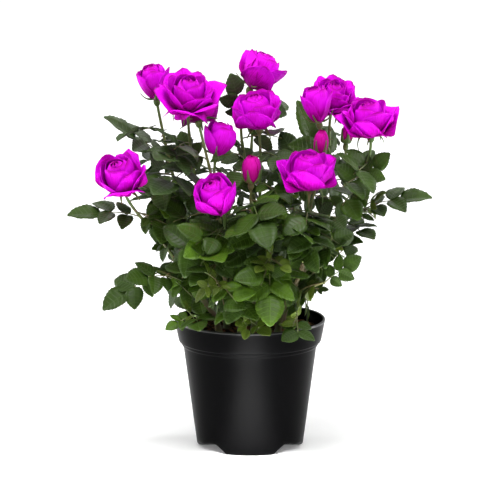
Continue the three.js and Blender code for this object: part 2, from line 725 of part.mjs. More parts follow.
// A rib keeps clear of the limbs and leaves of other shoots.
function ribFits(rib, shoot) {
  return RIB_SHARES.every((share) => {
    const point = rib.getPointAt(share);
    return (
      inOwnSpace(point, shoot) &&
      clearOfPot(point) &&
      clearOfBlooms(point) &&
      limbPoints.every((limb) => limb.owner === shoot || limb.point.distanceTo(point) > RIB_GAP) &&
      grownLeaflets.every(({ leaflet, owner }) => owner === shoot || !crowds(point, leaflet, LEAFLET_GAP))
    );
  });
}

function heightShare(z) {
  return THREE.MathUtils.clamp((z - CROWN_LOW) / (CROWN_HIGH - CROWN_LOW), 0, 1);
}

// A compound leaf from a point on a shoot to its tip: an arched rib, a leaflet at its end, and
// pairs along it. Its blade faces up and out, and more so low down.
function compoundLeaf(start, tip, roll) {
  const reach = tip.clone().sub(start);
  const length = reach.length();
  const forward = reach.clone().divideScalar(length);
  const outward = new THREE.Vector3(start.x * FACING_ASIDE, start.y - FACING_BACK, 0).normalize();
  const share = mix(OUTWARD_LOW, OUTWARD_HIGH, heightShare(tip.z));
  const facing = UP.clone().addScaledVector(outward, share);
  const flat = facing.addScaledVector(forward, -facing.dot(forward)).normalize();
  const normal = flat.applyAxisAngle(forward, radians(roll));
  const rib = new THREE.QuadraticBezierCurve3(
    start,
    start
      .clone()
      .addScaledVector(forward, (length * RIB_SHARE) / 2)
      .addScaledVector(normal, length * LEAF_ARCH),
    start.clone().addScaledVector(forward, length * RIB_SHARE),
  );
  const leaflets = [];
  const add = (share, size, splay, rootAt) => {
    const along = forward.clone().applyAxisAngle(normal, radians(splay));
    const across = normal.clone().cross(along).normalize();
    const root = onLimb(rib, share, RIB_RINGS).addScaledVector(along, rootAt);
    leaflets.push({ root, along, across, normal: normal.clone(), length: size * length });
  };
  add(1, TIP_LEAFLET_SHARE, 0, TIP_LEAFLET_ROOT);
  for (const pair of PAIRS) {
    add(pair.along, pair.length, pair.splay, PAIR_LEAFLET_ROOT);
    add(pair.along, pair.length, -pair.splay, PAIR_LEAFLET_ROOT);
  }
  return { rib, leaflets };
}

// A leaf without the leaflets that have no room, or with none if its rib has none.
function trimmedLeaf({ rib, leaflets }, shoot, aimed) {
  if (!ribFits(rib, shoot)) return { rib, leaflets: [] };
  return { rib, leaflets: leaflets.filter((leaflet) => leafletFits(leaflet, shoot, aimed)) };
}

// A kept leaf takes up room from then on.
const grownLeaflets = [];
function keepLeaf(leaf, shoot) {
  shoot.grown.push(leaf);
  addLimbPoints(leaf.rib, shoot, RIB_POINTS);
  for (const leaflet of leaf.leaflets) {
    const corners = testPoints(leaflet);
    grownLeaflets.push({ leaflet, owner: shoot, middle: middleOf(leaflet), corners });
  }
}

// At the largest size that fits, the heading with the most leaflets, and near the usual turn.
function bestLeaf(shoot, start, { length, turn, slope, roll }) {
  for (const size of LEAF_SIZES) {
    let best = null;
    for (let t = 0; t < LEAF_TRIES; t++) {
      const heading = radians(turn + (t * 360) / LEAF_TRIES);
      const reach = new THREE.Vector3(Math.cos(heading), Math.sin(heading), slope).setLength(size * length);
      const leaf = trimmedLeaf(compoundLeaf(start, start.clone().add(reach), roll), shoot, false);
      if (leaf.leaflets.length > (best ? best.leaflets.length : LEAST_LEAFLETS - 1)) best = leaf;
    }
    if (best) return best;
  }
  return null;
}

// Aimed leaves come first. Then each shoot in turn grows one leaf after another round its stalk. A
// leaf with too little room is turned on, then made smaller, and skipped if it never fits.
function growLeaf(shoot, i) {
  const [low, high] = shoot.between;
  const start = onLimb(shoot.curve, mix(low, high, (i + 0.5) / shoot.leaves), SHOOT_RINGS);
  const height = heightShare(start.z);
  const size = mix(LOW_LEAF_SIZE, HIGH_LEAF_SIZE, height);
  const length = LEAF_LENGTH * size * mix(1 - SIZE_SPREAD, 1 + SIZE_SPREAD, shoot.random());
  const turn = TURN_SPREAD * shoot.random() + i * LEAVES_TURN;
  const slope = mix(SLOPE_LOW, SLOPE_HIGH, height) + SLOPE_SPREAD * (shoot.random() - 0.5);
  const roll = ROLL_SPREAD * (shoot.random() - 0.5);
  const leaf = bestLeaf(shoot, start, { length, turn, slope, roll });
  if (leaf) keepLeaf(leaf, shoot);
}

for (const shoot of Object.values(shoots)) {
  for (const { at, tip, roll = 0 } of shoot.aimed) {
    const start = onLimb(shoot.curve, at, SHOOT_RINGS);
    const leaf = trimmedLeaf(compoundLeaf(start, vector(tip), roll), shoot, true);
    if (leaf.leaflets.length > 0) keepLeaf(leaf, shoot);
  }
}
for (let i = 0; i < MOST_LEAVES; i++) {
  for (const shoot of Object.values(shoots)) if (i < shoot.leaves) growLeaf(shoot, i);
}

// A leaflet is a thin lens, with faces from each stretch of its outline to its ridges.
function leafletSolid(leaflet) {
  const { edge, top, under } = leafletCorners(leaflet);
  const points = [];
  const triangle = (a, b, c) => points.push(...a.toArray(), ...b.toArray(), ...c.toArray());
  edge.forEach((corner, i) => {
    const next = edge[(i + 1) % edge.length];
    triangle(corner, top, next);
    triangle(corner, next, under);
  });
  const lens = new THREE.BufferGeometry();
  lens.setAttribute("position", new THREE.Float32BufferAttribute(points, 3));
  return solidFrom(lens, FINISHES.shoot.color);
}

// One ring about a bloom's axis. Its lobes stand out and drop where the outer petals turn down.
function bloomRing({ base, axis, spread, height, open }, ring, sides) {
  const upright = new THREE.Quaternion().setFromUnitVectors(UP, axis);
  const count = ring.radius === 0 ? 1 : sides;
  return Array.from({ length: count }, (_, i) => {
    const turn = (2 * Math.PI * i) / sides + spread;
    const lobe = ring.lobe * Math.cos((i * PETAL_LOBES * 2 * Math.PI) / sides);
    return new THREE.Vector3((ring.radius * (1 + lobe) * spread) / 2, 0, 0)
      .applyAxisAngle(UP, turn)
      .setZ((ring.height - lobe * open) * height)
      .applyQuaternion(upright)
      .add(base);
  });
}

// A bud is smooth, and a bloom lies between the closed and the open one.
function bloomSolid(bloom) {
  const rings =
    bloom.open < LEAST_OPEN
      ? BUD_RINGS
      : CLOSED_RINGS.map((closed, k) => ({
          radius: mix(closed.radius, OPEN_RINGS[k].radius, bloom.open),
          height: mix(closed.height, OPEN_RINGS[k].height, bloom.open),
          lobe: mix(closed.lobe, OPEN_RINGS[k].lobe, bloom.open),
        }));
  const sides = bloom.open < LEAST_OPEN ? HIP_SIDES : BLOOM_SIDES;
  return solidFrom(skin(rings.map((ring) => bloomRing(bloom, ring, sides))), PETAL_COLOUR);
}

// The green hip under a bloom, at the end of its stalk.
function hipSolid(bloom) {
  const rings = HIP_OUTLINE.map(([radius, height]) => {
    const ring = { radius: (radius * 2) / bloom.spread, height: height / bloom.height, lobe: 0 };
    return bloomRing(bloom, ring, HIP_SIDES);
  });
  return solidFrom(skin(rings), FINISHES.shoot.color);
}

function stalkSolid(curve, footRadius, tipRadius) {
  const radiusAt = (share) => mix(footRadius, tipRadius, share);
  return solidFrom(limb(curve, radiusAt, SHOOT_SIDES, SHOOT_RINGS), FINISHES.shoot.color);
}

function shootSolid(shoot) {
  const solids = [stalkSolid(shoot.curve, SHOOT_FOOT_RADIUS, SHOOT_TIP_RADIUS)];
  if (shoot.fork) solids.push(stalkSolid(shoot.stalks[1], SHOOT_TIP_RADIUS, FORK_TIP_RADIUS));
  for (const bloom of shoot.carries) solids.push(hipSolid(bloom), bloomSolid(bloom));
  for (const { rib, leaflets } of shoot.grown) {
    const ribRadius = (share) => mix(RIB_FOOT_RADIUS, RIB_TIP_RADIUS, share);
    solids.push(solidFrom(limb(rib, ribRadius, RIB_SIDES, RIB_RINGS), FINISHES.shoot.color));
    solids.push(...leaflets.map(leafletSolid));
  }
  return wasm.Manifold.union(solids);
}

function caneSolid({ curve, radiusAt }, extra = 0) {
  const radius = (share) => radiusAt(share) + extra;
  return solidFrom(limb(curve, radius, CANE_SIDES, CANE_RINGS), FINISHES.cane.color);
}

const rose = new THREE.Group();
rose.name = "patio_rose";

// One sub-part: its solid's vertices carry its colours.
function addPart(name, solid, { roughness, metalness }) {
  const material = new THREE.MeshStandardMaterial({ vertexColors: true, roughness, metalness });
  const mesh = new THREE.Mesh(geometryFrom(solid), material);
  mesh.name = name;
  rose.add(mesh);
}

addPart("pot", makePot(), FINISHES.pot);
addPart("compost", makeSoil(), FINISHES.compost);
for (const [name, cane] of Object.entries(canes)) addPart(name, caneSolid(cane), FINISHES.cane);
const roomForCanes = wasm.Manifold.union(Object.values(canes).map((cane) => caneSolid(cane, SEAT_GAP)));
for (const [name, shoot] of Object.entries(shoots)) {
  addPart(name, shootSolid(shoot).subtract(roomForCanes), FINISHES.shoot);
}

export default rose;
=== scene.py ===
# %% [markdown]
# # A patio rose in its nursery pot
#
# The plant and the pot come in as plain solids, which say where everything stands and how big
# it is. This lesson dresses them: bark, stalks, toothed leaflets with veins, roses built petal by
# petal, crumbly compost and a moulded plastic pot. Nothing is moved away from its solid, so the
# box round the finished rose is the box round the solids, to within a few millimetres.

# %% Load the solids
import json
import math

import bmesh
import bpy
import numpy as np
from mathutils import Matrix, Vector

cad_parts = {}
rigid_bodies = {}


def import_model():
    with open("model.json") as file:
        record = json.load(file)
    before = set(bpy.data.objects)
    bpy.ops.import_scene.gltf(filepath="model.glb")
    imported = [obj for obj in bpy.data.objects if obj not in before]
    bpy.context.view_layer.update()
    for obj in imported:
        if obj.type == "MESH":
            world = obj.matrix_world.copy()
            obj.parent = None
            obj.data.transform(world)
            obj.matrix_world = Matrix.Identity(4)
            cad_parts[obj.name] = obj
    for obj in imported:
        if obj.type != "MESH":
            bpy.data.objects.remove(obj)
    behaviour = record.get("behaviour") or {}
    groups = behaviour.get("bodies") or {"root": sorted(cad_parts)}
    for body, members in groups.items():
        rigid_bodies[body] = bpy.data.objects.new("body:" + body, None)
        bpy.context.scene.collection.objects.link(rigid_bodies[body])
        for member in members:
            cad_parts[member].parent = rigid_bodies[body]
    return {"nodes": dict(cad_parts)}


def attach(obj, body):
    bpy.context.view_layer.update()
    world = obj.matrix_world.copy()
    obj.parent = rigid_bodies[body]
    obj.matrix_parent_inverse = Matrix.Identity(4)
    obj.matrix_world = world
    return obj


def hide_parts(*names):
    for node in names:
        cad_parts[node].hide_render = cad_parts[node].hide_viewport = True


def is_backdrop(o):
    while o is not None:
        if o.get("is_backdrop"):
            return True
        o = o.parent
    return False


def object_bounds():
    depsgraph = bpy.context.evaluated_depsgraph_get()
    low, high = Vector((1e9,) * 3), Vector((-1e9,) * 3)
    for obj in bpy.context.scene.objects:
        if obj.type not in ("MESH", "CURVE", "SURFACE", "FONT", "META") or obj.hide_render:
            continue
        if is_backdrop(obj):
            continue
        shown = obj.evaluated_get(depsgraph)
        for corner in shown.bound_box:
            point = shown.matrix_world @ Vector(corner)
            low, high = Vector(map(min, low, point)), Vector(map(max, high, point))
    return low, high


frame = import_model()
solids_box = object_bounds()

MM = 0.001
print("nodes:", len(frame["nodes"]))
print("size in metres:", [round(v, 3) for v in solids_box[1] - solids_box[0]])

# %% [markdown]
# ## Camera
#
# The photograph looks down a little on the pot's rim, and the pot's sides hardly converge, so it
# was taken from far off with a long lens. A camera 4 m away, 10.8 degrees up, gives the same
# ellipse at the rim. The lens was then chosen so that the pot is as wide as in the picture.

# %% Camera at the photograph's angle
CAMERA_DISTANCE = 4.0
CAMERA_ELEVATION = math.radians(10.8)
CAMERA_LENS = 332
LOOK_AT = Vector((0, 0, 0.173))

camera_data = bpy.data.cameras.new("camera")
camera_data.lens = CAMERA_LENS
camera_data.sensor_width = 36
camera_data.clip_end = 60
camera = bpy.data.objects.new("camera", camera_data)
back = Vector((0, -math.cos(CAMERA_ELEVATION), math.sin(CAMERA_ELEVATION)))
camera.location = LOOK_AT + CAMERA_DISTANCE * back
camera.rotation_euler = (-back).to_track_quat("-Z", "Y").to_euler()
bpy.context.scene.collection.objects.link(camera)
bpy.context.scene.camera = camera
print("camera at", [round(v, 3) for v in camera.location])

# %% [markdown]
# ## Light and floor
#
# The rose stands on white paper in even light. A large lamp overhead and a little to the left
# gives the leaves their shine and shades the undersides of the blooms. Two tall, narrow lamps at
# the sides draw the bright lines down the edges of the pot. Its wall leans in towards the foot,
# so it mirrors the paper just in front of it: a spotlight there draws the broad soft band down
# its middle. The paper shines faintly of its own towards the distance, so that it stays white.

# %% Lamps and world
ROOM_BRIGHTNESS = 0.42
LAMPS_AIM, POOL_AIM = (0, 0, 0.2), (0, -0.17, 0)


def lamp(kind, name, place, power, aim, **settings):
    """A lamp that faces a point."""
    data = bpy.data.lights.new(name, kind)
    for label, value in {**settings, "energy": power}.items():
        setattr(data, label, value)
    stand = bpy.data.objects.new(name, data)
    stand.location = place
    stand.rotation_euler = (Vector(aim) - Vector(place)).to_track_quat("-Z", "Y").to_euler()
    bpy.context.scene.collection.objects.link(stand)


for name, place, size, power in (
    ("lamp_above", (-0.12, -0.6, 1.8), (1.0, 1.0), 34),
    ("lamp_left", (-1.5, 0.5, 0.5), (0.35, 1.5), 16),
    ("lamp_right", (1.5, 0.45, 0.5), (0.35, 1.5), 20),
    ("lamp_behind", (0.3, 1.5, 1.4), (1.2, 0.8), 8),
):
    lamp("AREA", name, place, power, LAMPS_AIM, shape="RECTANGLE", size=size[0], size_y=size[1])
pool = {"spot_size": math.radians(6.5), "spot_blend": 0.8, "shadow_soft_size": 0.03}
lamp("SPOT", "lamp_on_paper", (0, -1.25, 1.0), 2500, POOL_AIM, **pool)

world = bpy.data.worlds.new("white_room")
world.use_nodes = True
background = world.node_tree.nodes["Background"].inputs
background["Color"].default_value = (1, 1, 1, 1)
background["Strength"].default_value = ROOM_BRIGHTNESS
bpy.context.scene.world = world
bpy.context.scene.view_settings.view_transform = "Standard"

# %% Paper
bpy.ops.mesh.primitive_plane_add(size=24)
paper = bpy.context.object
paper.name = "paper"
paper_finish = bpy.data.materials.new("white_paper")
paper_finish.use_nodes = True
paper_tree = paper_finish.node_tree
paper_sockets = paper_tree.nodes["Principled BSDF"].inputs
for label, value in {
    "Base Color": (0.96, 0.96, 0.96, 1),
    "Roughness": 0.9,
    "Specular IOR Level": 0.1,
    "Emission Color": (1, 1, 1, 1),
}.items():
    paper_sockets[label].default_value = value
distance = paper_tree.nodes.new("ShaderNodeVectorMath")
distance.operation = "LENGTH"
glow = paper_tree.nodes.new("ShaderNodeMapRange")
for label, value in {"From Min": 0.2, "From Max": 2.2, "To Min": 0.16, "To Max": 0.6}.items():
    glow.inputs[label].default_value = value
paper_tree.links.new(paper_tree.nodes.new("ShaderNodeTexCoord").outputs["Object"], distance.inputs[0])
paper_tree.links.new(distance.outputs["Value"], glow.inputs["Value"])
paper_tree.links.new(glow.outputs[0], paper_sockets["Emission Strength"])
paper.data.materials.append(paper_finish)
paper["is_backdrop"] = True
print("paper side in metres:", round(paper.dimensions.x))

# %% [markdown]
# ## How the rose is grown
#
# The solids were grown by a seeded rule, and the same rule is written again here, so that every
# leaf and bloom lands on its solid. First come the sizes: where each cane stands, how each bloom
# faces, and where each shoot starts and ends. Everything is in millimetres, up is +Z, and the
# photographer stands at -Y.

# %% Sizes of the pot, the wood and the leaves
POT_HEIGHT, RIM_HEIGHT, RIM_RADIUS, RIM_LOW_RADIUS = 113, 19.5, 65.5, 62
BODY_TOP_RADIUS, FOOT_RADIUS, POT_WALL, POT_FLOOR = 58.4, 46, 1.4, 2
SOIL_TOP = 100
SEAT_GAP = 0.3
CANE_FLARE, CANE_FLARE_LENGTH = 1.5, 7
SHOOT_FOOT_RADIUS, SHOOT_TIP_RADIUS = 1.5, 1.15
LIMB_POINTS, RIB_POINTS = 40, 14
RIB_SHARES = (0.15, 0.3, 0.4, 0.5, 0.6, 0.7, 0.8, 0.9, 1)
CANE_UPRIGHT, CANE_SAG = 0.35, 0.08
SHOOT_ARRIVAL, SHOOT_DEPARTURE, END_SHOOT_DEPARTURE, BARE_TIP_RISE = 0.38, 0.2, 0.3, 0.1
FORK_TIP_RADIUS, FORK_DEPARTURE, FORK_ARRIVAL = 1.05, 0.3, 0.4

LEAF_LENGTH, RIB_SHARE, RIB_BEND, TIP_LEAFLET_SHARE = 76, 0.56, 0.5, 0.48
PAIRS = ({"along": 0.76, "length": 0.39, "splay": 60}, {"along": 0.34, "length": 0.31, "splay": 70})
RIB_RINGS = (0, PAIRS[0]["along"], 1)
SHOOT_RINGS = tuple(k / 5 for k in range(6))
LEAFLET_WIDTH, LEAFLET_WIDEST, LEAFLET_THICKNESS = 0.8, 0.44, 0.7
LEAFLET_DROOP, LEAFLET_FOLD, LEAF_ARCH = 0.05, 0.14, 0.1
TIP_LEAFLET_ROOT, PAIR_LEAFLET_ROOT = -0.6, 0.1

FIRST_SEED, SEED_STEP = 1000, 77
LEAVES_TURN, TURN_SPREAD, SLOPE_SPREAD, ROLL_SPREAD = 137.5, 40, 0.3, 50
LOW_LEAF_SIZE, HIGH_LEAF_SIZE, SIZE_SPREAD = 1.08, 0.8, 0.1
SLOPE_LOW, SLOPE_HIGH = -0.75, 0.15
OUTWARD_LOW, OUTWARD_HIGH = 1.4, 0.8
FACING_ASIDE, FACING_BACK = 0.3, 55
CROWN_LOW, CROWN_HIGH = 110, 300
LEAF_TRIES = 12
LEAF_SIZES = (1, 0.87, 0.75)
LEAST_LEAFLETS, MOST_LEAVES = 3, 8

SPACE_OVERREACH, BLOOM_MARGIN, POT_MARGIN = 22, 1.5, 2
LIMB_GAP, LEAFLET_GAP, OWN_LEAFLET_GAP, RIB_GAP = 2.4, 2.8, 1.2, 4
NEIGHBOUR_REACH, LOWEST_LEAF = 42, 98
OVAL_HALF_LENGTH, OVAL_HALF_WIDTH = 0.54, 0.56

# How far the crown reaches at some heights: to the left, to the right, and to front and back.
CROWN_OUTLINE = np.array([
    (98, 64, 58, 88), (130, 70, 62, 98), (158, 80, 70, 104), (175, 88, 96, 106),
    (200, 100, 110, 108), (240, 122, 124, 104), (285, 120, 120, 88), (330, 100, 100, 60),
])
print("leaf length:", LEAF_LENGTH, "mm")

# %% Canes, blooms and shoots
def named_rows(columns, rows):
    """A table as a dictionary of rows by name."""
    return {name: dict(zip(columns, values)) for name, *values in rows}


CANES = named_rows(("foot", "tip", "radii"), [
    ("cane_left", (-27, -10), (-66, -22, 170), (2.5, 1.8)),
    ("cane_left_back", (-20, 15), (-54, 24, 188), (2.4, 1.8)),
    ("cane_front", (-8, -25), (-24, -42, 166), (2.4, 1.8)),
    ("cane_centre", (4, 4), (5, 8, 200), (2.7, 1.9)),
    ("cane_right", (24, -16), (46, -34, 168), (2.4, 1.8)),
    ("cane_right_back", (28, 14), (66, 12, 192), (2.5, 1.8)),
    ("cane_back", (2, 31), (0, 60, 166), (2.4, 1.8)),
])
BLOOMS = named_rows(("middle", "spread", "height", "faces", "open"), [
    ("bloom_top_left_bud", (-84, 20, 317), 29, 31, (-0.18, -0.05, 0.98), 0.45),
    ("bloom_top_left", (-52, -30, 315), 57, 31, (0.05, -0.42, 0.9), 1),
    ("bloom_top", (9, 25, 326), 39, 33, (0.5, 0.1, 0.86), 0.6),
    ("bloom_centre", (6, -10, 296.5), 44, 31, (-0.1, -0.24, 0.97), 0.75),
    ("bloom_top_right_bud", (57, -12, 302), 27, 32, (-0.16, -0.12, 0.98), 0.4),
    ("bloom_top_right", (73, 18, 305), 43, 28, (0.15, -0.5, 0.85), 1),
    ("bloom_right", (102, -22, 292), 48, 33, (-0.1, -0.26, 0.96), 0.85),
    ("bloom_centre_left", (-26, -30, 276), 28, 30, (0.2, -0.1, 0.97), 0.35),
    ("bloom_left", (-112, -35, 244), 46, 34, (-0.2, -0.55, 0.81), 0.75),
    ("bloom_front", (-29, -62, 231), 37, 34, (-0.3, -0.5, 0.81), 0.5),
    ("bud_front", (1, -42, 251), 16, 25, (0.02, -0.1, 0.99), 0.05),
    ("bloom_right_front", (50, -47, 250.5), 50, 33, (0.02, -0.2, 0.98), 0.85),
    ("bud_right", (61, -20, 270), 13, 23, (0.06, -0.1, 0.99), 0.02),
    ("bud_far_right", (84, 16, 272), 10, 17, (0.1, 0.05, 0.99), 0),
    ("bloom_back_left", (-48, 48, 292), 42, 30, (-0.2, 0.5, 0.84), 0.75),
    ("bloom_back", (4, 62, 284), 36, 30, (0.1, 0.5, 0.86), 0.5),
    ("bloom_back_right", (50, 62, 229), 44, 31, (0.2, 0.6, 0.77), 0.85),
    ("bloom_low_back", (-31, 78, 208), 38, 31, (-0.2, 0.6, 0.77), 0.55),
])

# A shoot starts at a share of its cane's length and ends in a bloom or at a tip. Its leaves grow
# round its home, between two shares of the stalk.
SHOOTS = named_rows(("cane", "at", "end", "home", "leaves", "between"), [
    ("shoot_left", "cane_left", 1, "bloom_left", (-102, -26, 206), 5, (0.05, 0.75)),
    ("shoot_left_low", "cane_left", 0.6, (-80, -36, 161), (-92, -38, 146), 3, (0.3, 1)),
    ("shoot_left_rim", "cane_left", 0.2, (-50, -44, 124), (-55, -54, 120), 4, (0.3, 1)),
    ("shoot_top_left_bud", "cane_left_back", 1, "bloom_top_left_bud", (-98, 16, 262), 5, (0.25, 0.8)),
    ("shoot_top_left", "cane_left_back", 0.8, "bloom_top_left", (-66, -24, 256), 6, (0.3, 0.8)),
    ("shoot_back_left", "cane_left_back", 0.55, "bloom_back_left", (-62, 62, 232), 5, (0.3, 0.8)),
    ("shoot_inner_left", "cane_left_back", 0.4, (-70, 20, 196), (-70, 14, 192), 5, (0.3, 1)),
    ("shoot_centre_left", "cane_front", 0.72, "bloom_centre_left", (-30, -16, 226), 5, (0.3, 0.85)),
    ("shoot_front", "cane_front", 1, "bloom_front", (-48, -66, 194), 6, (0.05, 0.75)),
    ("shoot_front_low", "cane_front", 0.45, (-28, -76, 160), (-26, -84, 152), 5, (0.3, 1)),
    ("shoot_front_rim", "cane_front", 0.14, (-2, -60, 124), (-4, -66, 122), 4, (0.4, 1)),
    ("shoot_front_middle", "cane_centre", 0.5, (18, -62, 178), (20, -74, 168), 5, (0.4, 1)),
    ("shoot_top", "cane_centre", 1, "bloom_top", (-8, 14, 292), 4, (0.2, 0.85)),
    ("shoot_centre", "cane_centre", 0.84, "bloom_centre", (14, -24, 258), 5, (0.2, 0.85)),
    ("shoot_front_bud", "cane_centre", 0.6, "bud_front", (2, -54, 214), 5, (0.4, 0.9)),
    ("shoot_back", "cane_centre", 0.7, "bloom_back", (6, 66, 240), 5, (0.25, 0.8)),
    ("shoot_inner_right", "cane_right_back", 0.42, (36, 12, 212), (34, 4, 206), 5, (0.35, 1)),
    ("shoot_right_front", "cane_right", 1, "bloom_right_front", (58, -62, 204), 6, (0.05, 0.75)),
    ("shoot_right_bud", "cane_right", 0.78, "bud_right", (52, -16, 256), 5, (0.3, 0.85)),
    ("shoot_right_low", "cane_right", 0.5, (64, -50, 154), (72, -60, 152), 5, (0.3, 1)),
    ("shoot_right_rim", "cane_right", 0.16, (40, -52, 124), (42, -60, 118), 4, (0.3, 1)),
    ("shoot_top_right", "cane_right_back", 1, "bloom_top_right", (68, 30, 256), 5, (0.2, 0.8)),
    ("shoot_far_right", "cane_right_back", 0.82, "bloom_right", (106, -8, 250), 5, (0.3, 0.85)),
    ("shoot_right_mid", "cane_right_back", 0.6, (98, 2, 208), (112, -4, 204), 5, (0.35, 1)),
    ("shoot_right_side", "cane_right_back", 0.33, (72, 24, 160), (74, 20, 160), 4, (0.4, 1)),
    ("shoot_back_right", "cane_back", 0.8, "bloom_back_right", (66, 66, 196), 6, (0.2, 0.8)),
    ("shoot_low_back", "cane_back", 1, "bloom_low_back", (-22, 92, 182), 5, (0.05, 0.7)),
    ("shoot_back_low_left", "cane_back", 0.45, (-50, 66, 146), (-58, 66, 144), 5, (0.35, 1)),
    ("shoot_back_low_right", "cane_back", 0.32, (40, 66, 138), (42, 72, 136), 5, (0.35, 1)),
])

# Leaves aimed at one place, as the share of the stalk, the tip and the roll, and second stalks.
AIMED = {
    "shoot_left": [(0.6, (-155, -30, 213), 20)],
    "shoot_left_low": [(0.95, (-126, -44, 131), 0), (0.6, (-104, -66, 162), 0)],
    "shoot_left_rim": [(1, (-72, -58, 115), 0), (0.8, (-44, -84, 122), 0)],
    "shoot_top_left_bud": [(0.48, (-123, 2, 290), 25)],
    "shoot_top_left": [(0.55, (-60, 6, 276), 0)],
    "shoot_front_middle": [(0.9, (17, -98, 129), 0)],
    "shoot_top": [(0.76, (-15, -4, 326), -15), (0.5, (-16, 4, 268), 0)],
    "shoot_centre": [(0.5, (26, -12, 242), 0)],
    "shoot_inner_right": [(1, (6, 2, 254), 0)],
    "shoot_right_low": [(1, (94, -58, 178), 0), (0.6, (68, -40, 146), 0)],
    "shoot_right_rim": [(1, (42, -86, 99), 0)],
    "shoot_top_right": [(0.3, (43, 28, 298), 0)],
    "shoot_far_right": [(0.6, (118, -26, 262), 0)],
    "shoot_right_mid": [(1, (155, -2, 224), -25), (0.7, (106, -36, 192), 0)],
}
FORKS = {"shoot_top_right": (0.55, "bloom_top_right_bud"), "shoot_far_right": (0.5, "bud_far_right")}
print("canes:", len(CANES), "blooms:", len(BLOOMS), "shoots:", len(SHOOTS))

# %% [markdown]
# ## Curves and turns
#
# A limb follows a smooth curve drawn by three or four corner points. It is measured along its
# length, so that a share of 0.5 is half way up. Chance comes from a seeded generator: it multiplies
# its last number by a fixed factor and keeps the remainder by a prime, which gives the same rose
# each time.

# %% Curves, turns and seeded numbers
UP = np.array((0.0, 0.0, 1.0))
CURVE_STEPS, NUDGE = 200, 1e-4
GENERATOR_FACTOR, GENERATOR_PRIME = 48271, 2147483647


def unit(vector):
    return vector / np.linalg.norm(vector)


def mix(low, high, share):
    return low + (high - low) * share


def turned_about(vector, axis, degrees):
    """A vector turned about a unit axis."""
    angle = math.radians(degrees)
    aside = np.cross(axis, vector) * math.sin(angle)
    return vector * math.cos(angle) + aside + axis * (axis @ vector) * (1 - math.cos(angle))


class Limb:
    """A curve drawn by corner points, with its length measured in 200 straight steps."""

    def __init__(self, *corners):
        self.corners = np.array(corners, float)
        steps = self.raw(np.linspace(0, 1, CURVE_STEPS + 1))
        self.lengths = np.concatenate([[0], np.cumsum(np.linalg.norm(np.diff(steps, axis=0), axis=1))])
        self.length = self.lengths[-1]

    def raw(self, t):
        t = np.atleast_1d(t)[:, None]
        p = self.corners
        if len(p) == 3:
            return (1 - t) ** 2 * p[0] + 2 * (1 - t) * t * p[1] + t**2 * p[2]
        return (1 - t) ** 3 * p[0] + 3 * (1 - t) ** 2 * t * p[1] + 3 * (1 - t) * t**2 * p[2] + t**3 * p[3]

    def place(self, shares):
        """Where the given shares of the length lie on the curve's own scale."""
        return np.interp(np.asarray(shares) * self.length, self.lengths, np.linspace(0, 1, CURVE_STEPS + 1))

    def at(self, share):
        return self.raw(self.place(share))[0]

    def along(self, shares):
        return self.raw(self.place(np.asarray(shares)))

    def tangent(self, share):
        t = float(self.place(share))
        ends = self.raw(np.clip([t - NUDGE, t + NUDGE], 0, 1))
        return unit(ends[1] - ends[0])

    def on_facets(self, share, rings):
        """The point at a share of a limb that is straight between its rings."""
        k = max(next(i for i, end in enumerate(rings) if end >= share), 1)
        low, high = rings[k - 1], rings[k]
        return mix(self.at(low), self.at(high), (share - low) / (high - low))


def seeded(seed):
    """The next number from 0 to 1, each time it is called."""
    state = [seed]

    def draw():
        state[0] = state[0] * GENERATOR_FACTOR % GENERATOR_PRIME
        return state[0] / GENERATOR_PRIME

    return draw


draw = seeded(FIRST_SEED)
print("the first numbers of a shoot:", [round(draw(), 3) for _ in range(3)])


# %% [markdown]
# ## The limbs
#
# A cane leaves the compost upright and leans over to its fork. A shoot leaves its cane square to
# it, turns up, and ends in line with its bloom, or at a bare tip.

# %% Canes, blooms and shoots as curves
canes = {}
for name, cane in CANES.items():
    start = np.array((*cane["foot"], SOIL_TOP + SEAT_GAP), float)
    end = np.array(cane["tip"], float)
    rise = (end[2] - start[2]) * UP
    lean = mix(end, start, CANE_UPRIGHT) - CANE_SAG * rise
    curve = Limb(start, start + CANE_UPRIGHT * rise, lean, end)
    canes[name] = {"curve": curve, "radii": cane["radii"]}

blooms = {}
for index, (name, bloom) in enumerate(BLOOMS.items()):
    axis = unit(np.array(bloom["faces"], float))
    middle = np.array(bloom["middle"], float)
    base = middle - axis * bloom["height"] / 2
    blooms[name] = {**bloom, "name": name, "index": index, "axis": axis, "middle": middle, "base": base}


def cane_radius(cane, share):
    foot, tip = cane["radii"]
    return mix(foot, tip, share) + CANE_FLARE * np.exp(-share * cane["curve"].length / CANE_FLARE_LENGTH)


def shoot_curve(shoot):
    cane = canes[shoot["cane"]]
    on_cane = cane["curve"].at(shoot["at"])
    along = cane["curve"].tangent(shoot["at"])
    bloom = blooms.get(shoot["end"])
    end = bloom["base"] - SEAT_GAP * bloom["axis"] if bloom else np.array(shoot["end"], float)
    reach = end - on_cane
    if shoot["at"] == 1:
        leave, start, hold = along, on_cane + SEAT_GAP * along, END_SHOOT_DEPARTURE
    else:
        leave = unit(reach - (reach @ along) * along)
        start = on_cane + (cane_radius(cane, shoot["at"]) + SEAT_GAP) * leave
        hold = SHOOT_DEPARTURE
    length = np.linalg.norm(end - start)
    level = np.array((reach[0], reach[1], np.linalg.norm(reach) * BARE_TIP_RISE))
    arrive = bloom["axis"] if bloom else unit(level)
    return Limb(start, start + hold * length * leave, end - SHOOT_ARRIVAL * length * arrive, end)


def fork_curve(main, at, bloom):
    """A second stalk that leaves a shoot and ends in its own bloom."""
    start = main.on_facets(at, SHOOT_RINGS)
    end = bloom["base"] - SEAT_GAP * bloom["axis"]
    length = np.linalg.norm(end - start)
    leave = FORK_DEPARTURE * length * main.tangent(at)
    return Limb(start, start + leave, end - FORK_ARRIVAL * length * bloom["axis"], end)


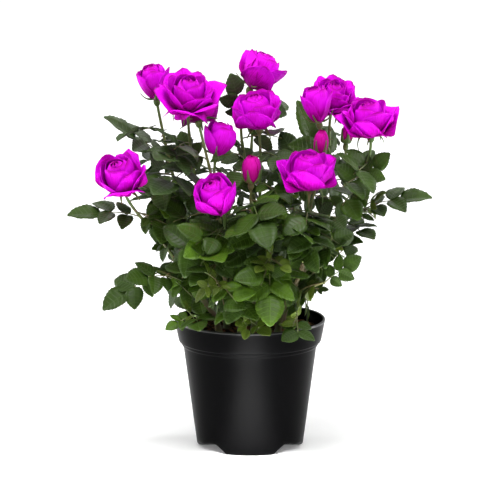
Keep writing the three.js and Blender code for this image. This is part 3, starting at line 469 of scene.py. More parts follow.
shoots = []
for index, (name, shoot) in enumerate(SHOOTS.items()):
    curve = shoot_curve(shoot)
    stalks = [curve]
    if name in FORKS:
        share, bloom = FORKS[name]
        stalks.append(fork_curve(curve, share, blooms[bloom]))
    random = seeded(FIRST_SEED + SEED_STEP * index)
    shoots.append({"name": name, "index": index, "order": shoot, "random": random})
    shoots[-1].update({"curve": curve, "stalks": stalks, "leaves": []})
print("cane lengths in mm:", [round(c["curve"].length) for c in canes.values()])

# %% [markdown]
# ## Room for each leaf
#
# A leaflet is kept if it stays in its shoot's own space, inside the crown, and clear of blooms,
# pot, limbs and other leaflets. Testing thousands of points one at a time would be slow in
# Python, so each test takes a whole table of points at once.

# %% What takes up room at first
CANES_OWNER = -1
FRAME_KEYS = ("root", "along", "across", "normal", "length")
homes = np.array([shoot["order"]["home"] for shoot in shoots], float)
bloom_middles = np.array([bloom["middle"] for bloom in blooms.values()])
bloom_reach = np.array([max(b["spread"], b["height"]) / 2 + BLOOM_MARGIN for b in blooms.values()])
limbs = [(cane["curve"], CANES_OWNER) for cane in canes.values()]
limbs += [(stalk, shoot["index"]) for shoot in shoots for stalk in shoot["stalks"]]
limb_shares = np.linspace(0, 1, LIMB_POINTS + 1)
room = {
    "limbs": np.concatenate([curve.along(limb_shares) for curve, _ in limbs]),
    "limb_owners": np.repeat([owner for _, owner in limbs], len(limb_shares)),
    "owners": np.zeros(0, int),
}
print("points on limbs:", len(room["limbs"]))

# %% Tests for points
def apart(points, others):
    """How far each point is from each of the others."""
    return np.linalg.norm(points[:, None] - others[None], axis=2)


def in_free_space(points, shoot):
    """In the shoot's own space, and clear of the blooms and the pot."""
    from_homes = apart(points, homes)
    own = from_homes[:, shoot["index"]] - SPACE_OVERREACH
    others = np.delete(from_homes, shoot["index"], axis=1)
    if not np.all(own[:, None] < others) or not np.all(apart(points, bloom_middles) > bloom_reach):
        return False
    out = np.hypot(points[:, 0], points[:, 1])
    z = points[:, 2]
    above_or_outside = (z > POT_HEIGHT + POT_MARGIN) | (out > RIM_RADIUS + POT_MARGIN)
    inside = (z > SOIL_TOP + POT_MARGIN) & (out < RIM_LOW_RADIUS - POT_WALL - POT_MARGIN)
    return bool(np.all((z >= LOWEST_LEAF) & (above_or_outside | inside)))


def in_crown(points):
    z = points[:, 2]
    left, right, deep = (np.interp(z, CROWN_OUTLINE[:, 0], CROWN_OUTLINE[:, k]) for k in (1, 2, 3))
    wide = np.where(points[:, 0] < 0, left, right)
    within = (z >= CROWN_OUTLINE[0, 0]) & (z < CROWN_OUTLINE[-1, 0])
    return bool(np.all(within & (np.hypot(points[:, 0] / wide, points[:, 1] / deep) < 1)))


def crowded(points, leaflets, gap):
    """Which points lie within which leaflets' outlines and close to their folded planes."""
    offset = points[:, None] - leaflets["root"][None]
    length = leaflets["length"]
    u = np.einsum("pnk,nk->pn", offset, leaflets["along"]) / length - 0.5
    v = np.einsum("pnk,nk->pn", offset, leaflets["across"]) / (length * LEAFLET_WIDTH)
    w = np.einsum("pnk,nk->pn", offset, leaflets["normal"])
    folded = 2 * np.abs(v) * LEAFLET_FOLD * LEAFLET_WIDTH * length
    within = (u / OVAL_HALF_LENGTH) ** 2 + (v / OVAL_HALF_WIDTH) ** 2 < 1
    return within & (np.abs(w - folded) < gap)


highest = np.array([CANES["cane_centre"]["tip"]], float)
print("the highest fork is in the crown:", in_crown(highest))

# %% Tests for a leaflet and a rib
def as_table(leaflet):
    return {key: np.array([leaflet[key]]) for key in FRAME_KEYS}


def place_on(leaflet, u, v, w=0.0):
    """A point of a leaflet: shares of its length along and across, and millimetres off its plane."""
    flat = leaflet["root"] + leaflet["length"] * (u * leaflet["along"] + v * leaflet["across"])
    return flat + w * leaflet["normal"]


def test_points(leaflet):
    """A leaflet's corners, the middles of its sides, and its ridge."""
    fold = LEAFLET_FOLD * LEAFLET_WIDTH * leaflet["length"]
    edge = [
        leaflet["root"],
        place_on(leaflet, LEAFLET_WIDEST, LEAFLET_WIDTH / 2, fold),
        place_on(leaflet, 1, 0, -LEAFLET_DROOP * leaflet["length"]),
        place_on(leaflet, LEAFLET_WIDEST, -LEAFLET_WIDTH / 2, fold),
    ]
    sides = [(edge[i] + edge[(i + 1) % 4]) / 2 for i in range(4)]
    return np.array([*edge, *sides, place_on(leaflet, LEAFLET_WIDEST, 0, LEAFLET_THICKNESS / 2)])


def leaflet_fits(leaflet, shoot, aimed, slack=1.0):
    points = test_points(leaflet)
    if not (aimed or in_crown(points)) or not in_free_space(points, shoot):
        return False
    others = room["limbs"][room["limb_owners"] != shoot["index"]]
    if crowded(others, as_table(leaflet), LIMB_GAP * slack).any():
        return False
    if not len(room["owners"]):
        return True
    middle = leaflet["root"] + leaflet["along"] * leaflet["length"] / 2
    near = np.linalg.norm(room["middle"] - middle, axis=1) <= NEIGHBOUR_REACH
    if not near.any():
        return True
    gaps = np.where(room["owners"][near] == shoot["index"], OWN_LEAFLET_GAP, LEAFLET_GAP) * slack
    grown = {key: room[key][near] for key in FRAME_KEYS}
    if crowded(points, grown, gaps[None]).any():
        return False
    theirs = room["points"][near]
    gaps = np.repeat(gaps, theirs.shape[1])[:, None]
    return not crowded(theirs.reshape(-1, 3), as_table(leaflet), gaps).any()


def rib_fits(rib, shoot, slack=1.0):
    points = rib.along(RIB_SHARES)
    others = room["limbs"][room["limb_owners"] != shoot["index"]]
    if not in_free_space(points, shoot) or (apart(points, others) <= RIB_GAP * slack).any():
        return False
    foreign = room["owners"] != shoot["index"]
    if not foreign.any():
        return True
    return not crowded(points, {key: room[key][foreign] for key in FRAME_KEYS}, LEAFLET_GAP * slack).any()


print("gap between leaflets of two shoots in mm:", LEAFLET_GAP)

# %% [markdown]
# ## Growing the leaves
#
# A rose leaf has five leaflets on one rib: one at the tip and two pairs. Aimed leaves come first,
# then every shoot in turn grows one leaf after another round its stalk, each turned 137.5 degrees
# from the last, as real shoots do. A leaf with too little room is turned on, then made smaller,
# and skipped if it never fits.

# %% One leaf
def height_share(z):
    return min(max((z - CROWN_LOW) / (CROWN_HIGH - CROWN_LOW), 0), 1)


def compound_leaf(start, tip, roll):
    reach = tip - start
    length = np.linalg.norm(reach)
    forward = reach / length
    outward = unit(np.array((start[0] * FACING_ASIDE, start[1] - FACING_BACK, 0)))
    facing = UP + outward * mix(OUTWARD_LOW, OUTWARD_HIGH, height_share(tip[2]))
    normal = turned_about(unit(facing - (facing @ forward) * forward), forward, roll)
    bend = start + forward * length * RIB_SHARE * RIB_BEND + normal * length * LEAF_ARCH
    rib = Limb(start, bend, start + forward * length * RIB_SHARE)
    places = [(1, TIP_LEAFLET_SHARE, 0, TIP_LEAFLET_ROOT)]
    for pair in PAIRS:
        for side in (1, -1):
            places.append((pair["along"], pair["length"], side * pair["splay"], PAIR_LEAFLET_ROOT))
    leaflets = []
    for share, size, splay, root_at in places:
        along = turned_about(forward, normal, splay)
        root = rib.on_facets(share, RIB_RINGS) + root_at * along
        across = unit(np.cross(normal, along))
        lie = {"root": root, "along": along, "across": across, "normal": normal}
        leaflets.append({**lie, "length": size * length})
    return {"rib": rib, "leaflets": leaflets}


example = compound_leaf(np.zeros(3), np.array((0, -LEAF_LENGTH, 0.0)), 0)
print("leaflets on a leaf:", len(example["leaflets"]))

# %% Grow the leaves that the solids have
def trimmed_leaf(leaf, shoot, aimed, slack=1.0):
    """A leaf without the leaflets that have no room, or with none if its rib has none."""
    if not rib_fits(leaf["rib"], shoot, slack):
        return {**leaf, "leaflets": []}
    return {**leaf, "leaflets": [one for one in leaf["leaflets"] if leaflet_fits(one, shoot, aimed, slack)]}


def keep_leaf(leaf, shoot):
    """A kept leaf takes up room from then on."""
    shoot["leaves"].append(leaf)
    rib_points = leaf["rib"].along(np.linspace(0, 1, RIB_POINTS + 1))
    room["limbs"] = np.concatenate([room["limbs"], rib_points])
    room["limb_owners"] = np.concatenate([room["limb_owners"], [shoot["index"]] * len(rib_points)])
    fresh = {key: np.array([one[key] for one in leaf["leaflets"]]) for key in FRAME_KEYS}
    fresh["owners"] = np.full(len(leaf["leaflets"]), shoot["index"])
    fresh["middle"] = fresh["root"] + fresh["along"] * fresh["length"][:, None] / 2
    fresh["points"] = np.array([test_points(one) for one in leaf["leaflets"]])
    for key, values in fresh.items():
        room[key] = np.concatenate([room[key], values]) if key in room and len(room[key]) else values


def best_leaf(shoot, start, length, turn, slope, roll, slack=1.0):
    """At the largest size that fits, the heading with the most leaflets."""
    for size in LEAF_SIZES:
        best = None
        for step in range(LEAF_TRIES):
            heading = math.radians(turn + step * 360 / LEAF_TRIES)
            reach = unit(np.array((math.cos(heading), math.sin(heading), slope))) * size * length
            leaf = trimmed_leaf(compound_leaf(start, start + reach, roll), shoot, False, slack)
            if len(leaf["leaflets"]) > (len(best["leaflets"]) if best else LEAST_LEAFLETS - 1):
                best = leaf
        if best:
            return best
    return None


def grow_leaf(shoot, i, count, shrink=1.0, slack=1.0):
    draw = shoot["random"]
    low, high = shoot["order"]["between"]
    start = shoot["curve"].on_facets(mix(low, high, (i + 0.5) / count), SHOOT_RINGS)
    height = height_share(start[2])
    size = mix(LOW_LEAF_SIZE, HIGH_LEAF_SIZE, height)
    length = shrink * LEAF_LENGTH * size * mix(1 - SIZE_SPREAD, 1 + SIZE_SPREAD, draw())
    turn = TURN_SPREAD * draw() + i * LEAVES_TURN
    slope = mix(SLOPE_LOW, SLOPE_HIGH, height) + SLOPE_SPREAD * (draw() - 0.5)
    roll = ROLL_SPREAD * (draw() - 0.5)
    leaf = best_leaf(shoot, start, length, turn, slope, roll, slack=slack)
    if leaf:
        keep_leaf({**leaf, "shrink": shrink}, shoot)


for shoot in shoots:
    for share, tip, roll in AIMED.get(shoot["name"], []):
        start = shoot["curve"].on_facets(share, SHOOT_RINGS)
        leaf = trimmed_leaf(compound_leaf(start, np.array(tip, float), roll), shoot, True)
        if leaf["leaflets"]:
            keep_leaf({**leaf, "shrink": 1, "aimed": True}, shoot)
for i in range(MOST_LEAVES):
    for shoot in shoots:
        if i < shoot["order"]["leaves"]:
            grow_leaf(shoot, i, shoot["order"]["leaves"])
print("leaves:", sum(len(s["leaves"]) for s in shoots), "leaflets:", len(room["owners"]))

# %% [markdown]
# ## Finer twigs
#
# The solids stop at the leaves that can be told apart. A real patio rose has smaller leaves in
# between, most of them low down, where hardly any light comes through. They are grown by the same
# rule in the same spaces, smaller and closer together, and fewer near the top, where the
# photograph shows white paper between the leaves.

# %% Grow the finer leaves
FINER_ROUNDS = ({"shrink": 0.86, "slack": 0.55, "leaves": 4}, {"shrink": 0.62, "slack": 0.45, "leaves": 5})
THINNING_HEIGHT = 225
LEAST_THINNED = 0.35
BARE_FOOT_HEIGHT, BARE_FOOT_FRONT = 135, -40

coarse_leaves = sum(len(shoot["leaves"]) for shoot in shoots)
for finer in FINER_ROUNDS:
    for i in range(finer["leaves"]):
        for shoot in shoots:
            home = shoot["order"]["home"]
            kept = 1 if home[2] < THINNING_HEIGHT else LEAST_THINNED
            if home[2] < BARE_FOOT_HEIGHT and home[1] < BARE_FOOT_FRONT:
                kept = 0
            if i < round(finer["leaves"] * kept):
                grow_leaf(shoot, i, finer["leaves"], finer["shrink"], finer["slack"])
print("finer leaves:", sum(len(shoot["leaves"]) for shoot in shoots) - coarse_leaves)

# %% [markdown]
# ## Young sprouts
#
# A shoot without a bloom ends in a tuft of young leaves, which are still small and pale. They
# stand round its tip and lean out from it, and each is kept where it has room.

# %% Grow young sprouts on the shoots without a bloom
SPROUT_SEED, SPROUT_LEAVES, SPROUT_SHRINK, SPROUT_SLACK = 377, 4, 0.4, 0.3
SPROUT_LENGTH, SPROUT_LEAST, SPROUT_MOST = 30, 0.6, 1.1
SPROUT_LEAN, SPROUT_TURN_SPREAD = 0.9, 40

sprouts = 0
draw = seeded(SPROUT_SEED)
for shoot in shoots:
    if shoot["order"]["end"] in blooms:
        continue
    tip, along = shoot["curve"].at(1), shoot["curve"].tangent(1)
    aside = unit(np.cross(along, UP))
    for k in range(SPROUT_LEAVES):
        out = turned_about(aside, along, k * LEAVES_TURN + SPROUT_TURN_SPREAD * draw())
        reach = unit(along + SPROUT_LEAN * out) * SPROUT_LENGTH * mix(SPROUT_LEAST, SPROUT_MOST, draw())
        leaf = trimmed_leaf(compound_leaf(tip, tip + reach, 0), shoot, False, SPROUT_SLACK)
        if leaf["leaflets"]:
            keep_leaf({**leaf, "shrink": SPROUT_SHRINK, "young": True}, shoot)
            sprouts += 1
print("sprout leaves:", sprouts)

# %% [markdown]
# ## Recipes in Geometry Nodes
#
# What repeats on the plant, or follows a line, is made by a node tree: leaflets on points, bark
# round a line, chips on the compost. Each tree here is written in the script with named inputs,
# and the result is turned into a plain mesh as soon as it is made, so nothing is left live.

# %% Helpers for node trees
def recipe(name, inputs):
    """A node tree for shapes, with its named inputs and the way in and out."""
    tree = bpy.data.node_groups.new(name, "GeometryNodeTree")
    tree.interface.new_socket("Geometry", in_out="INPUT", socket_type="NodeSocketGeometry")
    for label, kind in inputs.items():
        tree.interface.new_socket(label, in_out="INPUT", socket_type="NodeSocket" + kind)
    tree.interface.new_socket("Geometry", in_out="OUTPUT", socket_type="NodeSocketGeometry")
    return tree, tree.nodes.new("NodeGroupInput").outputs, tree.nodes.new("NodeGroupOutput").inputs[0]


def wire(tree, source, socket):
    """Lead the output of another node, or a plain value, into a socket."""
    if isinstance(source, bpy.types.NodeSocket):
        tree.links.new(source, socket)
    else:
        socket.default_value = source


def step(tree, kind, settings=None, **wires):
    """One node, with a wire for each input that is named."""
    node = tree.nodes.new(kind)
    for key, value in (settings or {}).items():
        setattr(node, key, value)
    for label, source in wires.items():
        wire(tree, source, node.inputs[label.replace("_", " ")])
    return node.outputs


def sum_step(tree, kind, operation, *sources):
    """A node that works something out from its inputs, which all have the same name."""
    outputs = step(tree, kind, {"operation": operation})
    for socket, source in zip(outputs[0].node.inputs, sources):
        wire(tree, source, socket)
    return outputs[0]


def in_material(tree, shape, material, **chosen):
    """The shape with its faces, or those that are chosen, in a material."""
    return step(tree, "GeometryNodeSetMaterial", Geometry=shape, Material=material, **chosen)[0]


def cook(piece, tree, **inputs):
    """Run a recipe on an object and keep the result as its plain mesh."""
    modifier = piece.modifiers.new(tree.name, "NODES")
    modifier.node_group = tree
    for item in tree.interface.items_tree:
        label = item.name.replace(" ", "_")
        if item.in_out == "INPUT" and label in inputs:
            modifier[item.identifier] = inputs[label]
    return bake(piece)


def bake(piece):
    """Replace an object's mesh by what its modifiers make of it."""
    bpy.context.view_layer.update()
    whole = bpy.data.meshes.new_from_object(piece.evaluated_get(bpy.context.evaluated_depsgraph_get()))
    piece.modifiers.clear()
    piece.data = whole
    whole.name = piece.name
    return piece


# %% Helpers for plain meshes
def mesh_object(name, points, faces=(), edges=(), uvs=None):
    """An object from points in millimetres. The uvs are one pair for each point."""
    mesh = bpy.data.meshes.new(name)
    mesh.from_pydata((np.asarray(points) * MM).tolist(), list(edges), list(faces))
    if uvs is not None:
        layer = mesh.uv_layers.new(name="UVMap")
        corners = np.zeros(len(mesh.loops), int)
        mesh.loops.foreach_get("vertex_index", corners)
        layer.data.foreach_set("uv", np.asarray(uvs)[corners].ravel())
    mesh.shade_smooth()
    piece = bpy.data.objects.new(name, mesh)
    bpy.context.scene.collection.objects.link(piece)
    return piece


def grid_faces(rows, columns, start, closed=False):
    """Faces between the points of a grid, round a full turn where it is closed."""
    width = columns if closed else columns - 1
    faces = []
    for row in range(rows - 1):
        for column in range(width):
            right = (column + 1) % columns
            low, high = start + row * columns, start + (row + 1) * columns
            faces.append((low + column, low + right, high + right, high + column))
    return faces


def tube_faces(rows, columns, start):
    """The faces of a closed tube, with one face over each end."""
    last = start + (rows - 1) * columns
    ends = [tuple(range(start, start + columns))[::-1], tuple(range(last, last + columns))]
    return grid_faces(rows, columns, start, closed=True) + ends


def outward(piece):
    """Turn all faces of a closed mesh outwards."""
    shell = bmesh.new()
    shell.from_mesh(piece.data)
    bmesh.ops.recalc_face_normals(shell, faces=shell.faces)
    shell.to_mesh(piece.data)
    shell.free()
    return piece


def note(piece, name, kind, values):
    """Write a number or vector for each point, for a node tree to read."""
    mark = piece.data.attributes.new(name, kind, "POINT")
    mark.data.foreach_set("value" if kind == "FLOAT" else "vector", np.asarray(values, float).ravel())


def noted_points(name, noted):
    """An object of points, with the turn and the size of a copy noted on each."""
    piece = mesh_object(name, noted["place"])
    for key in ("turn", "size"):
        note(piece, key, "FLOAT_VECTOR", noted[key])
    return piece


def recalled(tree, name, kind):
    return step(tree, "GeometryNodeInputNamedAttribute", {"data_type": kind}, Name=name)[0]


def finish_piece(piece, slot, nodes, *materials):
    """Give a finished piece its materials, hang it on the root body and hide the solids it replaces."""
    if materials:
        piece.data.materials.clear()
    for material in materials:
        piece.data.materials.append(material)
    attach(piece, "root")
    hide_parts(*nodes)
    triangles = sum(len(polygon.vertices) - 2 for polygon in piece.data.polygons)
    print(piece.name, triangles, "triangles")


shoot_nodes = list(SHOOTS)
print("faces of a tube with 3 rings of 8 points:", len(tube_faces(3, 8, 0)))

# %% [markdown]
# ## Finishes
#
# Each finish starts from one shader with its plain values set on its sockets, and gets its
# detail from noise: a colour that wanders between two tones, and a bump. The noise follows the
# object's own coordinates, so it stays put in every view.

# %% Helpers for finishes
def finish(name, colour, roughness, **values):
    """A material with its own shader. Values are set straight on the shader's sockets."""
    material = bpy.data.materials.new(name)
    material.use_nodes = True
    material.diffuse_color = (*colour, 1)
    shader = material.node_tree.nodes["Principled BSDF"]
    shader.inputs["Base Color"].default_value = (*colour, 1)
    shader.inputs["Roughness"].default_value = roughness
    for label, value in values.items():
        shader.inputs[label.replace("_", " ")].default_value = value
    return material, material.node_tree, shader.inputs


def noise(tree, scale, detail=3.0, stretch=(1, 1, 1), source="Object"):
    """Noise over the object's own coordinates, or over its UVs."""
    coordinates = tree.nodes.new("ShaderNodeTexCoord").outputs[source]
    placed = step(tree, "ShaderNodeMapping", Vector=coordinates, Scale=stretch)[0]
    return step(tree, "ShaderNodeTexNoise", Vector=placed, Scale=scale, Detail=detail)[0]


def tones(tree, factor, low, high, start=0.35, end=0.65, between=None):
    """A colour between two tones by a factor, by way of a third one if it is given."""
    ramp = tree.nodes.new("ShaderNodeValToRGB")
    ramp.color_ramp.elements[0].position = start
    ramp.color_ramp.elements[0].color = (*low, 1)
    ramp.color_ramp.elements[1].position = end
    ramp.color_ramp.elements[1].color = (*high, 1)
    if between:
        ramp.color_ramp.elements.new((start + end) / 2).color = (*between, 1)
    tree.links.new(factor, ramp.inputs[0])
    return ramp.outputs[0]


def bump(tree, height, distance, strength=1.0):
    """A bump whose relief is given in millimetres."""
    return step(tree, "ShaderNodeBump", Height=height, Distance=distance * MM, Strength=strength)[0]


def maths(tree, operation, first, second=0.0):
    return sum_step(tree, "ShaderNodeMath", operation, first, second)


def shaded(colour, factor):
    return tuple(channel * factor for channel in colour)


print("a green at half its brightness:", shaded((0.04, 0.08, 0.01), 0.5))

# %% [markdown]
# ## A leaflet
#
# A rose leaflet is an oval with a pointed tip and a saw edge. It is folded a little along its
# middle vein, and droops at the tip. A leaf drawn on a rectangle would need an image for its
# edge. Here the outline itself is cut in the mesh, with one small face for each tooth, and the
# veins are left to the finish. Four leaflets of slightly different bend are enough for variety.

# %% Leaflet shapes
TEETH = 9
TOOTH_DEPTH = 0.018
SHEET_THICKNESS = 0.012
BLUNTNESS_AT_FOOT, BLUNTNESS_AT_TIP = 0.62, 0.86
LEAFLET_BENDS = (
    {"width": 0.76, "fold": 0.2, "droop": 0.08, "twist": 0.0},
    {"width": 0.84, "fold": 0.12, "droop": 0.12, "twist": 0.08},
    {"width": 0.66, "fold": 0.26, "droop": 0.02, "twist": -0.06},
    {"width": 0.72, "fold": 0.34, "droop": 0.16, "twist": 0.03},
)
RIPPLE_HEIGHT, RIPPLES = 0.012, 17
TOOTH_PEAK = 0.72


def oval_half_width(along, width):
    """Half the width of a pointed oval at a share of its length."""
    foot, tip = BLUNTNESS_AT_FOOT, BLUNTNESS_AT_TIP
    widest = foot / (foot + tip)
    along = min(max(along, 0.0), 1.0)
    return width / 2 * (along / widest) ** foot * ((1 - along) / (1 - widest)) ** tip


def leaflet_template(name, bend):
    """A leaflet one unit long, along +Y and facing +Z, as a sheet; its thickness is given later."""
    stations = np.linspace(0, 1, TEETH + 1)
    points = []
    uvs = []

    def half(along):
        return oval_half_width(along, bend["width"])

    def place(along, across):
        share = across / max(half(along), 0.02)
        rise = bend["fold"] * abs(across) + bend["twist"] * across * along * 2
        ripple = RIPPLE_HEIGHT * math.sin(along * RIPPLES + 2 * across) * min(abs(share), 1) ** 2
        points.append((across, along, rise + ripple - bend["droop"] * along**2))
        uvs.append((0.5 + across, along))
        return len(points) - 1

    middle = [place(s, 0) for s in stations]
    faces = []
    for side in (-1, 1):
        inner = [place(s, side * 0.5 * half(s)) for s in stations[1:-1]]
        inner = [middle[0], *inner, middle[-1]]
        edge = [middle[0]]
        tips = []
        for k in range(TEETH):
            low, high = stations[k], stations[k + 1]
            peak = mix(low, high, TOOTH_PEAK)
            tips.append(place(peak, side * (half(peak) + TOOTH_DEPTH)))
            last = k == TEETH - 1
            edge.append(middle[-1] if last else place(high, side * (half(high) - TOOTH_DEPTH / 3)))
        for k in range(TEETH):
            across_faces = (
                (middle[k], inner[k], inner[k + 1], middle[k + 1]),
                (inner[k], edge[k], tips[k], edge[k + 1], inner[k + 1]),
            )
            for face in across_faces:
                face = list(dict.fromkeys(face))
                if len(face) > 2:
                    faces.append(face[::-1] if side == 1 else face)
    return mesh_object(name, np.array(points) / MM, faces, uvs=uvs)


def toward_up(piece):
    """Turn a sheet's faces so that they face up."""
    sheet = bmesh.new()
    sheet.from_mesh(piece.data)
    for face in sheet.faces:
        if face.normal.z < 0:
            face.normal_flip()
    sheet.to_mesh(piece.data)
    sheet.free()


def thickened(piece, thickness, offset=0):
    """Give a sheet its thickness, on both sides of it unless an offset moves it to one."""
    shell = piece.modifiers.new("sheet", "SOLIDIFY")
    shell.thickness = thickness
    shell.offset = offset
    return bake(piece)


print("half the width of a leaflet:", round(max(oval_half_width(s / 10, 1) for s in range(11)), 2))

# %% Four leaflets with their thickness
leaflet_kinds = bpy.data.collections.new("leaflet_kinds")
for k, bend in enumerate(LEAFLET_BENDS):
    template = leaflet_template(f"leaflet_{k}", bend)
    toward_up(template)
    thickened(template, SHEET_THICKNESS, -1)
    underside = np.array([polygon.normal.z < -0.2 for polygon in template.data.polygons])
    template.data.attributes.new("underside", "BOOLEAN", "FACE").data.foreach_set("value", underside)
    bpy.context.scene.collection.objects.unlink(template)
    leaflet_kinds.objects.link(template)

# %% [markdown]
# ## Leaf finishes
#
# Old leaves low on the plant are yellower, and the youngest are bright. The upper ones are greyer,
# a painted sheen of the sky. Each leaf takes one of these colours as a whole, by where it grows.
# On the leaf itself the side veins run from the middle vein to the edge: waves laid over the UVs
# sink them into the surface and make them a little paler.

# %% Leaf finishes
LEAF_TONES = {
    "low": (0.034, 0.072, 0.004),
    "middle": (0.03, 0.062, 0.006),
    # The upper tone is greyer: a painted sheen of the sky on the higher leaves.
    "upper": (0.034, 0.063, 0.014),
    "bright": (0.055, 0.115, 0.005),
    "young": (0.085, 0.13, 0.012),
}
VEINS, VEIN_SLOPE, VEIN_BEND, VEIN_WOBBLE = 7, 0.65, 1.3, 0.06
VEIN_SHARPNESS, MIDDLE_VEIN_SHARPNESS = 4.0, 40.0
DARK_PATCH, LIGHT_PATCH, VEIN_LIGHTER, VEIN_PALER = 0.72, 1.3, 1.3, 0.006
LEAF_ROUGHNESS, UNDERSIDE_COLOUR, UNDERSIDE_ROUGHNESS = 0.42, (0.062, 0.095, 0.036), 0.7


def vein_height(tree):
    """0 on a vein and 1 between veins, from the leaflet's UVs."""
    uv = step(tree, "ShaderNodeSeparateXYZ", Vector=tree.nodes.new("ShaderNodeTexCoord").outputs["UV"])
    aside = maths(tree, "ABSOLUTE", maths(tree, "SUBTRACT", uv[0], 0.5))
    bent = maths(tree, "MULTIPLY", maths(tree, "POWER", aside, VEIN_BEND), VEIN_SLOPE)
    uneven = maths(tree, "MULTIPLY", noise(tree, 70, 2), VEIN_WOBBLE)
    climb = maths(tree, "ADD", maths(tree, "SUBTRACT", uv[1], bent), uneven)
    phase = maths(tree, "FRACT", maths(tree, "MULTIPLY", climb, VEINS))
    side = maths(tree, "ABSOLUTE", maths(tree, "SUBTRACT", phase, 0.5))
    side = maths(tree, "SUBTRACT", 1.0, maths(tree, "MULTIPLY", side, 2.0))
    side = maths(tree, "MINIMUM", maths(tree, "MULTIPLY", side, VEIN_SHARPNESS), 1.0)
    middle = maths(tree, "MINIMUM", maths(tree, "MULTIPLY", aside, MIDDLE_VEIN_SHARPNESS), 1.0)
    return maths(tree, "MULTIPLY", side, middle)


def blended(tree, factor, low, high):
    """The first colour where a factor is 0, and the second where it is 1."""
    mixer = step(tree, "ShaderNodeMix", {"data_type": "RGBA"}, Factor=factor)[0].node
    for socket, colour in ((mixer.inputs[6], low), (mixer.inputs[7], high)):
        wire(tree, colour, socket)
    return mixer.outputs[2]


def leaf_finish(name, colour, roughness):
    material, tree, sockets = finish(name, colour, roughness, Specular_IOR_Level=0.22)
    veins = vein_height(tree)
    mottled = tones(tree, noise(tree, 55), shaded(colour, DARK_PATCH), shaded(colour, LIGHT_PATCH))
    paler = (*(channel * VEIN_LIGHTER + VEIN_PALER for channel in colour), 1)
    tree.links.new(blended(tree, veins, paler, mottled), sockets["Base Color"])
    grain = noise(tree, 900, 2)
    relief = maths(tree, "ADD", veins, maths(tree, "MULTIPLY", grain, 0.25))
    tree.links.new(bump(tree, relief, 0.5, 0.42), sockets["Normal"])
    return material


leaf_finishes = {
    name: leaf_finish(f"leaf_{name}", tone, LEAF_ROUGHNESS) for name, tone in LEAF_TONES.items()
}
under_finish = leaf_finish("leaf_underside", UNDERSIDE_COLOUR, UNDERSIDE_ROUGHNESS)
print("leaf finishes:", len(leaf_finishes))

# %% [markdown]
# ## Leaflets on points
#
# Every leaflet becomes one point with its turn and its size written on it. One node tree puts a
# leaflet on each point, and picks which of the four by the point's own number.

# %% Leaflets as points
def noted_copies(tree, points, shape, **picked):
    """Copies of a shape on points, by the turn and size noted there, as real faces."""
    turn = step(tree, "FunctionNodeEulerToRotation", Euler=recalled(tree, "turn", "FLOAT_VECTOR"))[0]
    lie = {"Rotation": turn, "Scale": recalled(tree, "size", "FLOAT_VECTOR")}
    placed = step(tree, "GeometryNodeInstanceOnPoints", Points=points, Instance=shape, **lie, **picked)
    return step(tree, "GeometryNodeRealizeInstances", Geometry=placed[0])[0]


def leaflet_recipe():
    inputs = {"Kinds": "Collection", "Top": "Material", "Underside": "Material"}
    tree, given, result = recipe("leaflets_on_points", inputs)
    singly = {"Separate_Children": True, "Reset_Children": True}
    kinds = step(tree, "GeometryNodeCollectionInfo", Collection=given["Kinds"], **singly)[0]
    picked = {"Pick_Instance": True, "Instance_Index": recalled(tree, "kind", "INT")}
    whole = noted_copies(tree, given["Geometry"], kinds, **picked)
    topped = in_material(tree, whole, given["Top"])
    under = recalled(tree, "underside", "BOOLEAN")
    tree.links.new(in_material(tree, topped, given["Underside"], Selection=under), result)
    return tree


def turn_to(x, y, z):
    """The turn that lays the three axes along three directions."""
    return Matrix(np.array([x, y, z]).T.tolist()).to_euler()


leaflets_on_points = leaflet_recipe()
print("nodes in the recipe:", len(leaflets_on_points.nodes))

# %% Deal out the leaves by colour
DEAL_SEED, LEAFLET_ROLL, LEAFLET_PITCH, AIMED_LOOSENESS = 4711, 30, 16, 0.3
UPPER_FROM, LOW_UP_TO = 235, 165
YOUNG_SHARE, YOUNG_SHRINK = 0.16, 0.7
TONE_SHARES = {
    "upper": (("bright", 0.03), ("upper", 0.75), ("middle", 1)),
    "middle": (("bright", 0.1), ("middle", 0.75), ("low", 0.95), ("upper", 1)),
    "low": (("bright", 0.28), ("low", 0.75), ("middle", 1)),
}

deal = seeded(DEAL_SEED)


def leaf_tone(leaf):
    """Which colour a leaf has, by its height and a little chance."""
    height = leaf["rib"].at(1)[2]
    if leaf.get("young") or (leaf["shrink"] < YOUNG_SHRINK and deal() < YOUNG_SHARE):
        return "young"
    zone = "upper" if height > UPPER_FROM else "low" if height < LOW_UP_TO else "middle"
    chance = deal()
    return next(tone for tone, limit in TONE_SHARES[zone] if chance <= limit)


dealt = {name: {"place": [], "turn": [], "size": [], "kind": []} for name in LEAF_TONES}
for shoot in shoots:
    for leaf in shoot["leaves"]:
        group = dealt[leaf_tone(leaf)]
        loose = AIMED_LOOSENESS if leaf.get("aimed") else 1
        for leaflet in leaf["leaflets"]:
            roll = loose * LEAFLET_ROLL * 2 * (deal() - 0.5)
            pitch = loose * LEAFLET_PITCH * 2 * (deal() - 0.5)
            along = turned_about(leaflet["along"], leaflet["across"], pitch)
            normal = turned_about(turned_about(leaflet["normal"], leaflet["across"], pitch), along, roll)
            length = leaflet["length"] * MM
            group["place"].append(leaflet["root"])
            group["turn"].append(turn_to(np.cross(along, normal), along, normal))
            group["size"].append((length * mix(0.9, 1.06, deal()), length, length))
            group["kind"].append(int(deal() * len(LEAFLET_BENDS)))

for name, group in dealt.items():
    if not group["place"]:
        continue
    piece = noted_points(f"leaves_{name}", group)
    piece.data.attributes.new("kind", "INT", "POINT").data.foreach_set("value", group["kind"])
    cook(piece, leaflets_on_points, Kinds=leaflet_kinds, Top=leaf_finishes[name], Underside=under_finish)
    finish_piece(piece, "shoots", shoot_nodes)
for template in list(leaflet_kinds.objects):
    bpy.data.objects.remove(template)


